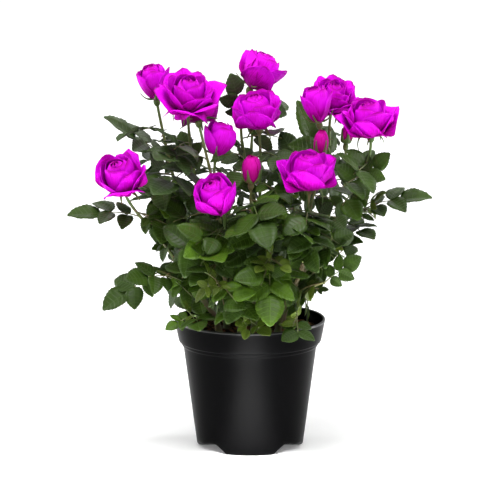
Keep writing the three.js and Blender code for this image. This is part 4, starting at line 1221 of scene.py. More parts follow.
# %% [markdown]
# ## Canes, stalks and ribs
#
# A limb is a line with a thickness at each point. One node tree turns all the lines of a kind
# into round limbs. The canes get two more steps: a swelling at each bud scar, and bark that
# stands a fraction of a millimetre proud in long streaks. Hooked prickles stand on canes and
# stalks: one small hook is modelled, and a second tree puts it on points along them.

# %% Limbs from lines
BARK_STREAKS = (1, 1, 0.25)


def limb_recipe():
    inputs = {"Sides": "Int", "Relief": "Float", "Grain": "Float", "Finish": "Material"}
    tree, given, result = recipe("limbs_round_lines", inputs)
    lines = step(tree, "GeometryNodeMeshToCurve", Mesh=given["Geometry"])[0]
    ring = step(tree, "GeometryNodeCurvePrimitiveCircle", Resolution=given["Sides"], Radius=MM)[0]
    thickness = recalled(tree, "thickness", "FLOAT")
    profile = {"Profile_Curve": ring, "Scale": thickness, "Fill_Caps": True}
    round_limb = step(tree, "GeometryNodeCurveToMesh", Curve=lines, **profile)[0]
    place = step(tree, "GeometryNodeInputPosition")[0]
    streaks = sum_step(tree, "ShaderNodeVectorMath", "MULTIPLY", place, BARK_STREAKS)
    bark = step(tree, "ShaderNodeTexNoise", Vector=streaks, Scale=given["Grain"], Detail=3)[0]
    height = maths(tree, "MULTIPLY", maths(tree, "SUBTRACT", bark, 0.5), given["Relief"])
    out = step(tree, "ShaderNodeVectorMath", {"operation": "SCALE"}, Scale=height)[0]
    tree.links.new(step(tree, "GeometryNodeInputNormal")[0], out.node.inputs[0])
    rough = step(tree, "GeometryNodeSetPosition", Geometry=round_limb, Offset=out)[0]
    smooth = step(tree, "GeometryNodeSetShadeSmooth", Geometry=rough)[0]
    whole = step(tree, "GeometryNodeRealizeInstances", Geometry=smooth)[0]
    tree.links.new(in_material(tree, whole, given["Finish"]), result)
    return tree


def line_object(name, lines, thicknesses):
    """Many lines as one object, with their thickness written on each point."""
    edges = []
    start = 0
    for line in lines:
        edges.extend((start + i, start + i + 1) for i in range(len(line) - 1))
        start += len(line)
    piece = mesh_object(name, np.concatenate(lines), edges=edges)
    note(piece, "thickness", "FLOAT", np.concatenate(thicknesses))
    return piece


def twig_finish(name, colour, second, roughness=0.5):
    material, tree, sockets = finish(name, colour, roughness, Specular_IOR_Level=0.4)
    patchy = tones(tree, noise(tree, 60, 4, (1, 1, 0.3)), colour, second)
    tree.links.new(patchy, sockets["Base Color"])
    tree.links.new(bump(tree, noise(tree, 700, 4, (1, 1, 0.15)), 0.3, 0.6), sockets["Normal"])
    return material


limbs_round_lines = limb_recipe()
bark_finish = twig_finish("cane_bark", (0.075, 0.1, 0.03), (0.12, 0.08, 0.04), 0.65)
stalk_finish = twig_finish("green_stalk", (0.1, 0.18, 0.035), (0.15, 0.16, 0.05))
rib_finish = twig_finish("leaf_rib", (0.085, 0.14, 0.035), (0.14, 0.11, 0.045))
prickle_finish = twig_finish("prickle", (0.16, 0.07, 0.03), (0.24, 0.15, 0.06))
print("nodes in the recipe:", len(limbs_round_lines.nodes))

# %% Canes, stalks and ribs
CANE_RINGS_DRAWN, STALK_RINGS_DRAWN, RIB_RINGS_DRAWN = 70, 28, 7
SCAR_SPACING, SCAR_SWELLING, SCAR_LENGTH = 17, 0.35, 1.6
STALK_SWELLING, FIRST_STALK_SCAR = 0.8, 5
RIB_FOOT_RADIUS, RIB_TIP_RADIUS = 0.62, 0.4


def scars(distance):
    """How much a cane swells, by the distance to the nearest bud scar along it."""
    away = np.abs((distance + SCAR_SPACING / 2) % SCAR_SPACING - SCAR_SPACING / 2)
    return SCAR_SWELLING * np.exp(-((away / SCAR_LENGTH) ** 2))


def limbs_piece(name, slot, nodes, lines, sides, relief, grain, look):
    """One piece from lines, each given as its points and its thickness at each of them."""
    piece = line_object(name, *zip(*lines))
    cook(piece, limbs_round_lines, Sides=sides, Relief=relief * MM, Grain=grain, Finish=look)
    finish_piece(piece, slot, nodes)


cane_lines, stalk_lines, rib_lines = [], [], []
shares = np.linspace(0, 1, CANE_RINGS_DRAWN)
for cane in canes.values():
    thickness = cane_radius(cane, shares) + scars(shares * cane["curve"].length)
    cane_lines.append((cane["curve"].along(shares), thickness))
limbs_piece("canes_barked", "canes", CANES, cane_lines, 16, 0.7, 420.0, bark_finish)

stalk_shares, rib_shares = np.linspace(0, 1, STALK_RINGS_DRAWN), np.linspace(0, 1, RIB_RINGS_DRAWN)
for shoot in shoots:
    for k, stalk in enumerate(shoot["stalks"]):
        ends = (SHOOT_TIP_RADIUS, FORK_TIP_RADIUS) if k else (SHOOT_FOOT_RADIUS, SHOOT_TIP_RADIUS)
        swelling = STALK_SWELLING * scars(stalk_shares * stalk.length + FIRST_STALK_SCAR)
        stalk_lines.append((stalk.along(stalk_shares), mix(*ends, stalk_shares) + swelling))
    for leaf in shoot["leaves"]:
        rib_lines.append((leaf["rib"].along(rib_shares), mix(RIB_FOOT_RADIUS, RIB_TIP_RADIUS, rib_shares)))
limbs_piece("stalks", "shoots", shoot_nodes, stalk_lines, 10, 0.25, 600.0, stalk_finish)
limbs_piece("leaf_ribs", "shoots", shoot_nodes, rib_lines, 6, 0.0, 600.0, rib_finish)

# %% Prickles
PRICKLE_SPACING, CLOSEST, FURTHEST, BARE_FROM = 9, 0.5, 2.2, 0.85
PRICKLE_LENGTH, SHORTEST, LONGEST, SUNK_TO = 2.6, 0.6, 1.1, 0.85
PRICKLE_OUTLINE = ((0.0, 0.0, 0.42), (0.45, -0.06, 0.2), (0.8, -0.22, 0.09), (1.0, -0.42, 0.0))
PRICKLE_SIDES, PRICKLE_SEED = 6, 611


def copies_recipe():
    """A tree that puts one object on every point, by the turn and size noted there."""
    tree, given, result = recipe("copies_on_points", {"Shape": "Object", "Finish": "Material"})
    shape = step(tree, "GeometryNodeObjectInfo", Object=given["Shape"])["Geometry"]
    whole = noted_copies(tree, given["Geometry"], shape)
    tree.links.new(in_material(tree, whole, given["Finish"]), result)
    return tree


def prickle_shape():
    """A hook along +X that bends down at its tip, one unit long."""
    turn = np.linspace(0, 2 * np.pi, PRICKLE_SIDES, endpoint=False)
    points = []
    for reach, drop, width in PRICKLE_OUTLINE[:-1]:
        for angle in turn:
            points.append((reach, width * 0.5 * math.sin(angle), drop + width * math.cos(angle)))
    points.append((PRICKLE_OUTLINE[-1][0], 0, PRICKLE_OUTLINE[-1][1]))
    rows = len(PRICKLE_OUTLINE) - 1
    faces = grid_faces(rows, PRICKLE_SIDES, 0, closed=True)
    last = (rows - 1) * PRICKLE_SIDES
    faces.extend((last + i, last + (i + 1) % PRICKLE_SIDES, len(points) - 1) for i in range(PRICKLE_SIDES))
    faces.append(tuple(range(PRICKLE_SIDES)))
    return outward(mesh_object("prickle", np.array(points) / MM, faces))


def copies_piece(name, noted, shape, look, slot, nodes):
    """One piece from copies of a shape, which is removed once they are made."""
    piece = noted_points(name, noted)
    cook(piece, copies_on_points, Shape=shape, Finish=look)
    bpy.data.objects.remove(shape)
    finish_piece(piece, slot, nodes)


copies_on_points = copies_recipe()
hook = prickle_shape()
bpy.context.scene.collection.objects.unlink(hook)
draw = seeded(PRICKLE_SEED)
prickles = {"place": [], "turn": [], "size": []}
prickly = [(cane["curve"], cane) for cane in canes.values()] + [(shoot["curve"], None) for shoot in shoots]
for curve, cane in prickly:
    distance = PRICKLE_SPACING * draw()
    while distance < BARE_FROM * curve.length:
        share = distance / curve.length
        along = curve.tangent(share)
        radius = cane_radius(cane, share) if cane else mix(SHOOT_FOOT_RADIUS, SHOOT_TIP_RADIUS, share)
        out = turned_about(unit(np.cross(along, (0.3, 0.9, 0.1))), along, 360 * draw())
        prickles["place"].append(curve.at(share) + SUNK_TO * radius * out)
        prickles["turn"].append(turn_to(out, np.cross(along, out), along))
        prickles["size"].append((PRICKLE_LENGTH * mix(SHORTEST, LONGEST, draw()) * MM,) * 3)
        distance += PRICKLE_SPACING * mix(CLOSEST, FURTHEST, draw())
copies_piece("prickles", prickles, hook, prickle_finish, "canes", [*CANES, *shoot_nodes])

# %% [markdown]
# ## Blooms
#
# A rose opens from a tight spiral. The inner petals wrap round each other and lean in, the next
# ones stand up, and the outer ones lean out and roll their rims back, which gives them their
# pointed look. A sculpted bloom would be one of a kind, so here a petal is worked out from its
# number in the spiral and from how far the bloom has opened: its middle line bends from one lean
# to another, and its width is wrapped round the bloom. Each bloom is then fitted to its solid.

# %% How petals and blooms differ
PETAL_ROWS, PETAL_COLUMNS = 12, 10
PETAL_THICKNESS = 0.35
LEAST_PETALS, MOST_PETALS = 7, 19
PETALS_TURN, PETAL_TURN_SPREAD, SPREAD_QUANTILE = 137.5, 30, 0.985
FOOT_REACH, MIDDLE_STEPS = 0.1, 60

# Two numbers are for a closed bloom or an upright petal, and for a fully open one. The petals at
# the heart of a bloom have the values of an inner petal, and blend towards those of an outer one.
HELD_SHUT, INNER_BELLY, OUTER_BELLY = 0.75, (0.85, 0.34), (1.0, 0.66)
INNER_MOUTH, OUTER_MOUTH, CURL, CURL_FROM = 0.04, (0.3, 0.72), (-6, 80), 0.66
INNER_WIDTH, OUTER_WIDTH, NARROW_FOOT, FULL_WIDTH_FROM = (1.9, 0.95), (2.2, 1.5), 0.3, 0.6
POINT, POINT_STEEPNESS, INNER_WRAP, OUTER_WRAP = (0.03, 0.36), 1.35, 2.7, 1.35
OUTER_FROM, DROOPING_SHARE, EXTRA_DROOP, LEAST_RADIUS = 0.8, 0.2, 0.3, 0.1
ROLL_FROM, ROLL_STEEPNESS, ROLL_OUT, ROLL_DOWN, SWIRL = 0.4, 2.4, 0.15, 0.26, (0.2, 0.05)
RUFFLE, CREASE, CREASE_WIDTH, RIM_NOTCH, TILT_SPREAD = 0.065, 0.03, 0.28, 0.03, 0.14

# Where a petal's value is dealt by chance, and how often its rim waves.
OPENNESS_SPREAD, CURL_SPREAD, HEIGHT_SPREAD, POINT_SPREAD = (0.75, 1.2), (0.3, 1.3), (0.94, 1.04), (0.6, 1.3)
LONG_WAVES, SHORT_WAVES, NOTCHES, CREASES, WAVE_SHIFT = (2.6, 4.6), (7, 10), 8, 5.5, 7

USUAL_SLIMNESS = 0.22
SLIM_BLOOMS = {"bloom_top_left_bud": 0.45, "bloom_top_right_bud": 0.4, "bloom_top": 0.3}
MANY_PETALS = {"bloom_top_right": 26}

# A number to deal each bloom's petals by, chosen so that its outline is like the photograph's.
BLOOM_SEEDS = {
    "bloom_top_left_bud": 359, "bloom_top_left": 356, "bloom_top": 385, "bloom_centre": 382,
    "bloom_top_right_bud": 396, "bloom_top_right": 389, "bloom_right": 386, "bloom_centre_left": 304,
    "bloom_left": 351, "bloom_front": 367, "bloom_right_front": 307,
}
FIRST_BLOOM_SEED, BLOOM_SEED_STEP = 300, 91
print("petals in a bloom:", LEAST_PETALS, "to", max(MOST_PETALS, *MANY_PETALS.values()))

# %% The shape of one petal
def ease(value, start, end):
    """From 0 to 1 between two places, without a corner."""
    share = np.clip((value - start) / (end - start), 0, 1)
    return share * share * (3 - 2 * share)


def petal_openness(share, opened):
    """How far a petal has opened, by its place in the spiral and the opening of its bloom."""
    held = HELD_SHUT * (1 - opened)
    return opened**0.7 * max((share - held) / (1 - held), 0) ** 1.2


def petal_middle(share, opened, own, slim, draw):
    """A petal's middle line from foot to rim, as reach from the axis and height above the hip."""
    belly = mix(mix(*INNER_BELLY, opened), mix(*OUTER_BELLY, opened), share)
    mouth = mix(INNER_MOUTH, mix(*OUTER_MOUTH, min(opened * 3, 1)), share**0.8)
    corners = (
        (FOOT_REACH, 0),
        ((belly + 0.2 * own) * (1 - slim), 0.02 + 0.2 * slim),
        (mix(1.15 * belly, 0.88, own), mix(0.7, 0.5, own)),
        (mix(mouth * belly, 1.0, own), mix(1, 0.8, own) * mix(*HEIGHT_SPREAD, draw())),
    )
    line = Limb(*corners).along(np.linspace(0, 1, MIDDLE_STEPS + 1))
    lean = np.arctan2(*np.diff(line, axis=0).T)
    length = np.linalg.norm(np.diff(line, axis=0), axis=1)
    curl = np.radians(mix(*CURL, own) * mix(*CURL_SPREAD, draw()))
    lean = lean + curl * ease(np.linspace(0, 1, MIDDLE_STEPS), CURL_FROM, 1)
    reach = FOOT_REACH + np.concatenate([[0], np.cumsum(np.sin(lean) * length)])
    height = np.concatenate([[0], np.cumsum(np.cos(lean) * length)])
    return reach, height


def petal_points(share, opened, slim, draw):
    """A grid of points of one petal about the +Z axis, in shares of the bloom's size."""
    down = np.linspace(0, 1, PETAL_ROWS + 1)[:, None]
    across = np.linspace(-1, 1, PETAL_COLUMNS + 1)[None]
    aside = np.abs(across)
    own = petal_openness(share, opened) * mix(*OPENNESS_SPREAD, draw())
    if share > OUTER_FROM and draw() < DROOPING_SHARE:
        own += EXTRA_DROOP * opened
    pointed = mix(*POINT, own) * mix(*POINT_SPREAD, draw())
    notches = RIM_NOTCH * share * np.sin(across * NOTCHES + WAVE_SHIFT * draw())
    tilt = TILT_SPREAD * (draw() - 0.5) * across
    along = down * (1 - 0.1 * aside**3 - pointed * aside**POINT_STEEPNESS + tilt + notches)
    reach, height = petal_middle(share, opened, own, slim, draw)
    fine = np.linspace(0, 1, MIDDLE_STEPS + 1)
    radius = np.interp(along, fine, reach)
    height = np.interp(along, fine, height)
    width = mix(mix(*INNER_WIDTH, opened), mix(*OUTER_WIDTH, opened), share**0.8)
    widened = np.sin(np.pi / 2 * np.minimum(down / FULL_WIDTH_FROM, 1))
    width = width * (NARROW_FOOT + (1 - NARROW_FOOT) * widened)
    wrap = np.maximum(radius, LEAST_RADIUS) * mix(1.0, 1.2, own)
    limit = mix(INNER_WRAP, OUTER_WRAP, share)
    bend = limit * np.tanh(across * width / 2 / wrap / limit)
    swirl = mix(*SWIRL, share**0.6) * radius * across * ease(along, 0.1, 0.7)
    rolled = own * aside**ROLL_STEEPNESS * ease(down, ROLL_FROM, 1)
    waves = np.sin(across * mix(*LONG_WAVES, draw()) + WAVE_SHIFT * draw())
    waves = waves + 0.6 * np.sin(across * mix(*SHORT_WAVES, draw()) + WAVE_SHIFT * draw())
    ruffle = RUFFLE * share * mix(0.5, 1, opened) * waves * ease(down, ROLL_FROM, 1)
    fold = np.exp(-((across / CREASE_WIDTH) ** 2))
    crease = fold + 0.8 * np.sin(across * CREASES + WAVE_SHIFT * draw())
    crease = CREASE * share * crease * ease(down, 0.15, 0.8)
    out = wrap + swirl + ruffle + crease + ROLL_OUT * rolled
    x = radius - wrap + out * np.cos(bend)
    y = out * np.sin(bend)
    height = height - ROLL_DOWN * rolled + 0.5 * ruffle
    return np.stack([x, y, height], axis=-1), across + 0 * down, along


def turned_flat(points, degrees):
    turn = math.radians(degrees)
    x, y, z = np.moveaxis(points, -1, 0)
    across, along = math.cos(turn), math.sin(turn)
    return np.stack([x * across - y * along, x * along + y * across, z], -1)


def onto_bloom(points, bloom):
    """Points about +Z, in millimetres from the bloom's base, moved onto the bloom."""
    upright = np.array(Vector((0, 0, 1)).rotation_difference(Vector(bloom["axis"])).to_matrix())
    return points @ upright.T + bloom["base"]


print("an open bloom's outer petal opens to", round(petal_openness(1, 1), 2))

# %% All the petals of a bloom
def bloom_petals(bloom, seed):
    """Every petal of a bloom as a grid of points, fitted to the bloom's solid."""
    draw = seeded(seed)
    opened = bloom["open"]
    count = MANY_PETALS.get(bloom["name"], round(mix(LEAST_PETALS, MOST_PETALS, opened**0.6)))
    slim = SLIM_BLOOMS.get(bloom["name"], USUAL_SLIMNESS)
    petals = []
    for k in range(count):
        grid, across, along = petal_points(k / (count - 1), opened, slim, draw)
        grid = turned_flat(grid, k * PETALS_TURN + PETAL_TURN_SPREAD * (draw() - 0.5))
        uvs = np.stack([across / 2 + 0.5, along], -1).reshape(-1, 2)
        petals.append({"grid": grid, "uvs": uvs})
    every = np.concatenate([petal["grid"].reshape(-1, 3) for petal in petals])
    wide = bloom["spread"] / 2 / np.quantile(np.hypot(every[:, 0], every[:, 1]), SPREAD_QUANTILE)
    high = bloom["height"] / every[:, 2].max()
    for petal in petals:
        petal["grid"] = onto_bloom(petal["grid"] * (wide, wide, high), bloom)
    return petals


print("petals in the widest bloom:", len(bloom_petals(blooms["bloom_top_left"], FIRST_BLOOM_SEED)))

# %% Petal finishes
def petal_finish(name, colour, deep, painted_highlight):
    """Painted shade at a petal's foot, a darker rim, a painted highlight between, and streaks along it."""
    sheen = {"Sheen_Weight": 0.15, "Sheen_Roughness": 0.4, "Sheen_Tint": (0.8, 0.02, 1.0, 1)}
    material, tree, sockets = finish(name, colour, 0.6, Specular_IOR_Level=0.06, **sheen)
    uv = step(tree, "ShaderNodeSeparateXYZ", Vector=tree.nodes.new("ShaderNodeTexCoord").outputs["UV"])
    streaks = maths(tree, "SUBTRACT", noise(tree, 5, 3, (10, 1, 1), "UV"), 0.5)
    patches = maths(tree, "SUBTRACT", noise(tree, 75, 2), 0.5)
    uneven = maths(tree, "ADD", streaks, patches)
    height = maths(tree, "ADD", uv[1], uneven)
    # The foot's darker tone is painted shade; the lighter lilac tone higher up is a painted highlight.
    body = tones(tree, height, deep, painted_highlight, 0.15, 0.95, between=colour)
    aside = maths(tree, "ABSOLUTE", maths(tree, "SUBTRACT", maths(tree, "MULTIPLY", uv[0], 2.0), 1.0))
    near_rim = maths(tree, "MAXIMUM", aside, uv[1])
    edge = step(tree, "ShaderNodeMapRange", Value=near_rim, From_Min=0.9, From_Max=0.99)[0]
    rim = (*(mix(a, b, 0.3) for a, b in zip(deep, colour)), 1)
    tree.links.new(blended(tree, edge, body, rim), sockets["Base Color"])
    fine = noise(tree, 30, 3, (12, 1, 1), "UV")
    tree.links.new(bump(tree, fine, 0.35, 0.5), sockets["Normal"])
    return material


# The second tone of each finish is painted shade for the petals' feet, the third a painted highlight.
petal_magenta = petal_finish("petal_magenta", (0.6, 0.0, 0.52), (0.28, 0.0, 0.15), (0.78, 0.006, 0.82))
petal_bud = petal_finish("petal_bud", (0.46, 0.002, 0.22), (0.25, 0.0, 0.08), (0.62, 0.008, 0.38))
print("petal finishes:", petal_magenta.name, petal_bud.name)

# %% Petals of the blooms and the buds
def petals_piece(name, chosen, material):
    points, faces, uvs = [], [], []
    for bloom in chosen:
        seed = BLOOM_SEEDS.get(bloom["name"], FIRST_BLOOM_SEED + BLOOM_SEED_STEP * bloom["index"])
        for petal in bloom_petals(bloom, seed):
            start = sum(len(p) for p in points)
            points.append(petal["grid"].reshape(-1, 3))
            uvs.append(petal["uvs"])
            faces.extend(grid_faces(PETAL_ROWS + 1, PETAL_COLUMNS + 1, start))
    piece = mesh_object(name, np.concatenate(points), faces, uvs=np.concatenate(uvs))
    thickened(piece, PETAL_THICKNESS * MM)
    finish_piece(piece, "petals", shoot_nodes, material)


BUD_OPENNESS = 0.1
roses = [bloom for bloom in blooms.values() if bloom["open"] >= BUD_OPENNESS]
petals_piece("petals_front", [rose for rose in roses if rose["middle"][1] < 0], petal_magenta)
petals_piece("petals_back", [rose for rose in roses if rose["middle"][1] >= 0], petal_magenta)
petals_piece("petals_buds", [bloom for bloom in blooms.values() if bloom["open"] < BUD_OPENNESS], petal_bud)

# %% [markdown]
# ## Hips and sepals
#
# Under each bloom is a green hip the size of a pea, and from its top grow five long sepals. They
# hug a bud, and turn down once it opens. A sepal is a narrow folded strip whose middle line
# bends down as far as the bloom has opened.

# %% Hips and sepals
HIP_OUTLINE = (
    (0.9, -7.2), (1.6, -6.4), (2.6, -5.0), (3.2, -3.2), (3.1, -1.4), (2.5, 0.2), (2.2, 1.6), (0.8, 2.0),
)
HIP_SIDES = 14
SEPALS, SEPAL_ROWS, SEPAL_SEED = 5, 11, 97
SEPAL_LENGTHS, SEPAL_WIDTH, SEPAL_FOLD, SEPAL_THICKNESS = (15, 21), 4.6, 0.3, 0.45
BUD_SEPAL_WIDTH, BUD_SEPAL_FOLD = 1.8, 0.1
HIP_TOP = (2.3, 0.6)


def hip_grid(bloom):
    size = mix(0.72, 1, min(bloom["spread"] / 40, 1))
    turn = np.linspace(0, 2 * np.pi, HIP_SIDES, endpoint=False)
    rings = [
        np.stack([size * r * np.cos(turn), size * r * np.sin(turn), np.full(HIP_SIDES, z * 0.9)], -1)
        for r, z in HIP_OUTLINE
    ]
    return onto_bloom(np.array(rings), bloom)


def sepal_middle(bloom, length, flare, droop):
    """A sepal's middle line: up along a bud, or out and down under an open bloom."""
    radius, height = bloom["spread"] / 2, bloom["height"]
    shares = np.linspace(0, 1, SEPAL_ROWS + 1)
    slim = 1 - 0.6 * SLIM_BLOOMS.get(bloom["name"], USUAL_SLIMNESS)
    side = (radius * mix(1.2, 1.5, flare), 0.45 * height)
    hugging = Limb(HIP_TOP, (radius * slim * 1.1, 0), side, (radius * mix(1.1, 2, flare), 0.8 * height))
    reach, fall = mix(0.95, 0.5, droop) * length, mix(0.1, 0.8, droop) * length
    hanging = Limb(HIP_TOP, (0.4 * length, 3), (0.7 * length, 0), (reach, -fall))
    up = hugging.along(shares * min(length / hugging.length, 1))
    return mix(up, hanging.along(shares), ease(bloom["open"], 0.5, 0.9))


def sepal_grid(bloom, k, draw):
    """Three columns of points, folded along the middle."""
    length = mix(*SEPAL_LENGTHS, draw()) * mix(0.75, 1, min(bloom["spread"] / 30, 1))
    flare = draw() ** 3 if bloom["open"] > 0.1 else 0
    middle = sepal_middle(bloom, length, flare, draw())
    share = np.linspace(0, 1, SEPAL_ROWS + 1)[:, None]
    opened = min(bloom["open"] * 3, 1)
    size = mix(0.7, 1, min(bloom["spread"] / 30, 1)) * mix(BUD_SEPAL_WIDTH, 1, opened)
    fold = mix(BUD_SEPAL_FOLD, SEPAL_FOLD, opened)
    swelling = 0.6 + 0.4 * np.sin(np.pi * np.minimum(share * 2, 1))
    width = size * SEPAL_WIDTH * (1 - share) ** 0.8 * swelling + 0.3
    side = np.array([-1, 0, 1])[None]
    lean = np.gradient(middle, axis=0)
    outward = np.stack([lean[:, 1], -lean[:, 0]], -1) / np.linalg.norm(lean, axis=1)[:, None]
    inward = -np.abs(side)[..., None] * (width * fold)[..., None] * outward[:, None]
    flat = middle[:, None] + inward
    twist = 0.3 * (draw() - 0.5) * share
    x = flat[..., 0] * np.cos(twist) - side * width / 2 * np.sin(twist)
    y = flat[..., 0] * np.sin(twist) + side * width / 2 * np.cos(twist)
    grid = turned_flat(np.stack([x, y, flat[..., 1]], -1), k * 360 / SEPALS + bloom["spread"] * 7)
    return onto_bloom(grid, bloom)


sepal_finish = twig_finish("sepal_green", (0.075, 0.15, 0.028), (0.14, 0.12, 0.04), 0.55)
hip_points, hip_faces, sepal_points, sepal_faces = [], [], [], []
draw = seeded(SEPAL_SEED)
for bloom in blooms.values():
    start = sum(len(p) for p in hip_points)
    hip_points.append(hip_grid(bloom).reshape(-1, 3))
    hip_faces.extend(tube_faces(len(HIP_OUTLINE), HIP_SIDES, start))
    for k in range(SEPALS):
        start = sum(len(p) for p in sepal_points)
        sepal_points.append(sepal_grid(bloom, k, draw).reshape(-1, 3))
        sepal_faces.extend(grid_faces(SEPAL_ROWS + 1, 3, start))
hips = mesh_object("hips", np.concatenate(hip_points), hip_faces)
finish_piece(hips, "shoots", shoot_nodes, sepal_finish)
sepals = mesh_object("sepals", np.concatenate(sepal_points), sepal_faces)
thickened(sepals, SEPAL_THICKNESS * MM)
finish_piece(sepals, "shoots", shoot_nodes, sepal_finish)

# %% [markdown]
# ## Pot
#
# The pot is a blow-moulded nursery pot: thin black plastic, a tall rim that stands out over the
# body on a rounded ledge, and four arches in the foot for draining, which reach in under the
# raised floor. A turned profile gives all of it but the arches. Those are made by lifting the foot
# of the profile as it turns, which keeps the shell closed and smooth without cutting. The lip
# is worn smooth by hands and stacking, so it has a glossier finish than the rest.

# %% Outline and finish of the pot
POT_SIDES = 192
FOOT_ARCH = (
    (28, 0.0), (33, 3.4), (36.5, 5.3), (39.5, 6.8), (44, 7.0),
    (50, 6.4), (60, 4.6), (72, 3.6), (84, 1.2), (88, 0.0),
)
LEDGE = POT_HEIGHT - RIM_HEIGHT
LEDGE_CURVE = ((-0.3, 4.4), (0.2, 4.0), (0.9, 3.4), (1.1, 2.4), (1.3, 1.2))
LIP_CURVE = ((0.3, 2.6), (0, 1.9), (0, 0.8), (0.4, 0.2), (1.0, 0), (1.6, 0.2), (2.1, 1.0))
LIP_HEIGHT, PLAIN_WALL_FROM = 1.5, 11
POT_COLOUR, POT_SHINE, LIP_SHINE = (0.0007, 0.0007, 0.0008), 0.024, 0.5
RAISED_FLOOR, RAISED_FLOOR_WIDTH, NOTCH_DEPTH = 8, 22, 20


def arch_lift(turn):
    """How far the foot is lifted at a turn from the front, in degrees."""
    from_front = abs((turn + 180) % 360 - 180)
    quarter = min(from_front, 180 - from_front)
    return float(np.interp(quarter, *zip(*FOOT_ARCH)))


def wall_radius(z):
    return mix(FOOT_RADIUS, BODY_TOP_RADIUS, z / (LEDGE - 1.5))


def pot_profile(lift):
    """The pot's outline from the middle of its foot, up outside, over the rim and down inside."""
    inner, body, ledge, rim = FOOT_RADIUS - NOTCH_DEPTH, BODY_TOP_RADIUS, RIM_LOW_RADIUS, RIM_RADIUS
    outside = [(wall_radius(z), z) for z in np.linspace(PLAIN_WALL_FROM, LEDGE - 5.5, 9)]
    return [
        (inner - 0.6, 0),
        (inner, min(lift, 0.4)),
        (inner + 0.2, lift),
        (FOOT_RADIUS - 3.2, lift),
        (FOOT_RADIUS - 1.5, lift + 0.4),
        (wall_radius(lift + 1.4) - 0.4, lift + 1.4),
        (wall_radius(lift + 3), lift + 3),
        *outside,
        *((body + out, LEDGE - down) for out, down in LEDGE_CURVE),
        (ledge - 1.2, LEDGE - 0.6),
        (ledge - 0.3, LEDGE - 0.1),
        (ledge + 0.1, LEDGE + 0.8),
        (mix(ledge, rim, 0.2), LEDGE + 3.6),
        (mix(ledge, rim, 0.5), LEDGE + 9),
        (mix(ledge, rim, 0.85), POT_HEIGHT - 4),
        *((rim - inwards, POT_HEIGHT - down) for inwards, down in LIP_CURVE),
        (mix(ledge, rim, 0.5) - POT_WALL, LEDGE + 9),
        (RIM_LOW_RADIUS - POT_WALL, LEDGE + 1.5),
        (BODY_TOP_RADIUS - POT_WALL, LEDGE - 1),
        (FOOT_RADIUS - POT_WALL, RAISED_FLOOR + 1),
        (FOOT_RADIUS - RAISED_FLOOR_WIDTH + 0.5, RAISED_FLOOR),
        (FOOT_RADIUS - RAISED_FLOOR_WIDTH, POT_FLOOR),
    ]


def plastic_finish(name, shine):
    """Black plastic: satin, with a fine grain and faint wear that changes its gloss."""
    material, tree, sockets = finish(name, POT_COLOUR, 0.32, Specular_IOR_Level=shine)
    worn = tones(tree, noise(tree, 9, 4, (1, 1, 0.3)), shaded(POT_COLOUR, 0.8), shaded(POT_COLOUR, 1.5))
    tree.links.new(worn, sockets["Base Color"])
    scuffs = noise(tree, 30, 5, (1, 1, 0.4))
    rough = step(tree, "ShaderNodeMapRange", Value=scuffs, To_Min=0.27, To_Max=0.38)[0]
    tree.links.new(rough, sockets["Roughness"])
    tree.links.new(bump(tree, noise(tree, 1400, 2), 0.06, 0.5), sockets["Normal"])
    return material


print("points in the outline:", len(pot_profile(0)), "lift of an arch:", max(map(arch_lift, range(360))))

# %% Turn the pot
turns = np.linspace(0, 360, POT_SIDES, endpoint=False)
outline = np.array([pot_profile(arch_lift(turn)) for turn in turns])
angle = np.radians(turns)[:, None]
wall = np.stack(
    [outline[..., 0] * np.sin(angle), -outline[..., 0] * np.cos(angle), outline[..., 1]], -1
).transpose(1, 0, 2)
rings = len(wall)
centres = np.array([[0, 0, 0], [0, 0, POT_FLOOR]])
pot_points = np.concatenate([wall.reshape(-1, 3), centres])
pot_faces = grid_faces(rings, POT_SIDES, 0, closed=True)
for i in range(POT_SIDES):
    j = (i + 1) % POT_SIDES
    pot_faces.append((rings * POT_SIDES, j, i))
    pot_faces.append((rings * POT_SIDES + 1, (rings - 1) * POT_SIDES + i, (rings - 1) * POT_SIDES + j))
pot = mesh_object("nursery_pot", pot_points, pot_faces)
pot_finishes = plastic_finish("pot_plastic", POT_SHINE), plastic_finish("pot_lip", LIP_SHINE)
finish_piece(pot, "pot", ["pot"], *pot_finishes)
for face in pot.data.polygons:
    face.material_index = int(face.center.z > (POT_HEIGHT - LIP_HEIGHT) * MM)


# %% [markdown]
# ## Compost
#
# The pot is filled with bark compost: dark crumbs with reddish flakes of bark on top. The filling
# keeps the solid's shape below, and its top is heaped up at the wall, and raised and sunk a
# little at random. The flakes are one small broken block, put on a few hundred random points of
# the top.

# %% Shape and finish of the compost
COMPOST_RINGS, COMPOST_SIDES, COMPOST_SEED = 22, 72, 2027
COMPOST_ROUGHNESS, COMPOST_HEAP, COMPOST_GAP = 1.6, 4, 1.2


def compost_radius(z):
    inner = mix(RIM_LOW_RADIUS, RIM_RADIUS, (z - LEDGE) / RIM_HEIGHT) if z > LEDGE else wall_radius(z)
    return inner - POT_WALL - COMPOST_GAP


def compost_top(share):
    """The filling is heaped against the wall, where it was pushed in round the root ball."""
    return SOIL_TOP - COMPOST_ROUGHNESS + COMPOST_HEAP * share**4


def crumbly_finish(name, colour, roughness, shine, dark, light, patches, grain, relief):
    """Two tones in patches, and a grain that stands proud by some millimetres and a strength."""
    material, tree, sockets = finish(name, colour, roughness, Specular_IOR_Level=shine)
    tree.links.new(tones(tree, noise(tree, *patches), dark, light), sockets["Base Color"])
    tree.links.new(bump(tree, noise(tree, *grain), *relief), sockets["Normal"])
    return material


print("heap at the wall in mm:", round(compost_top(1) - compost_top(0)))

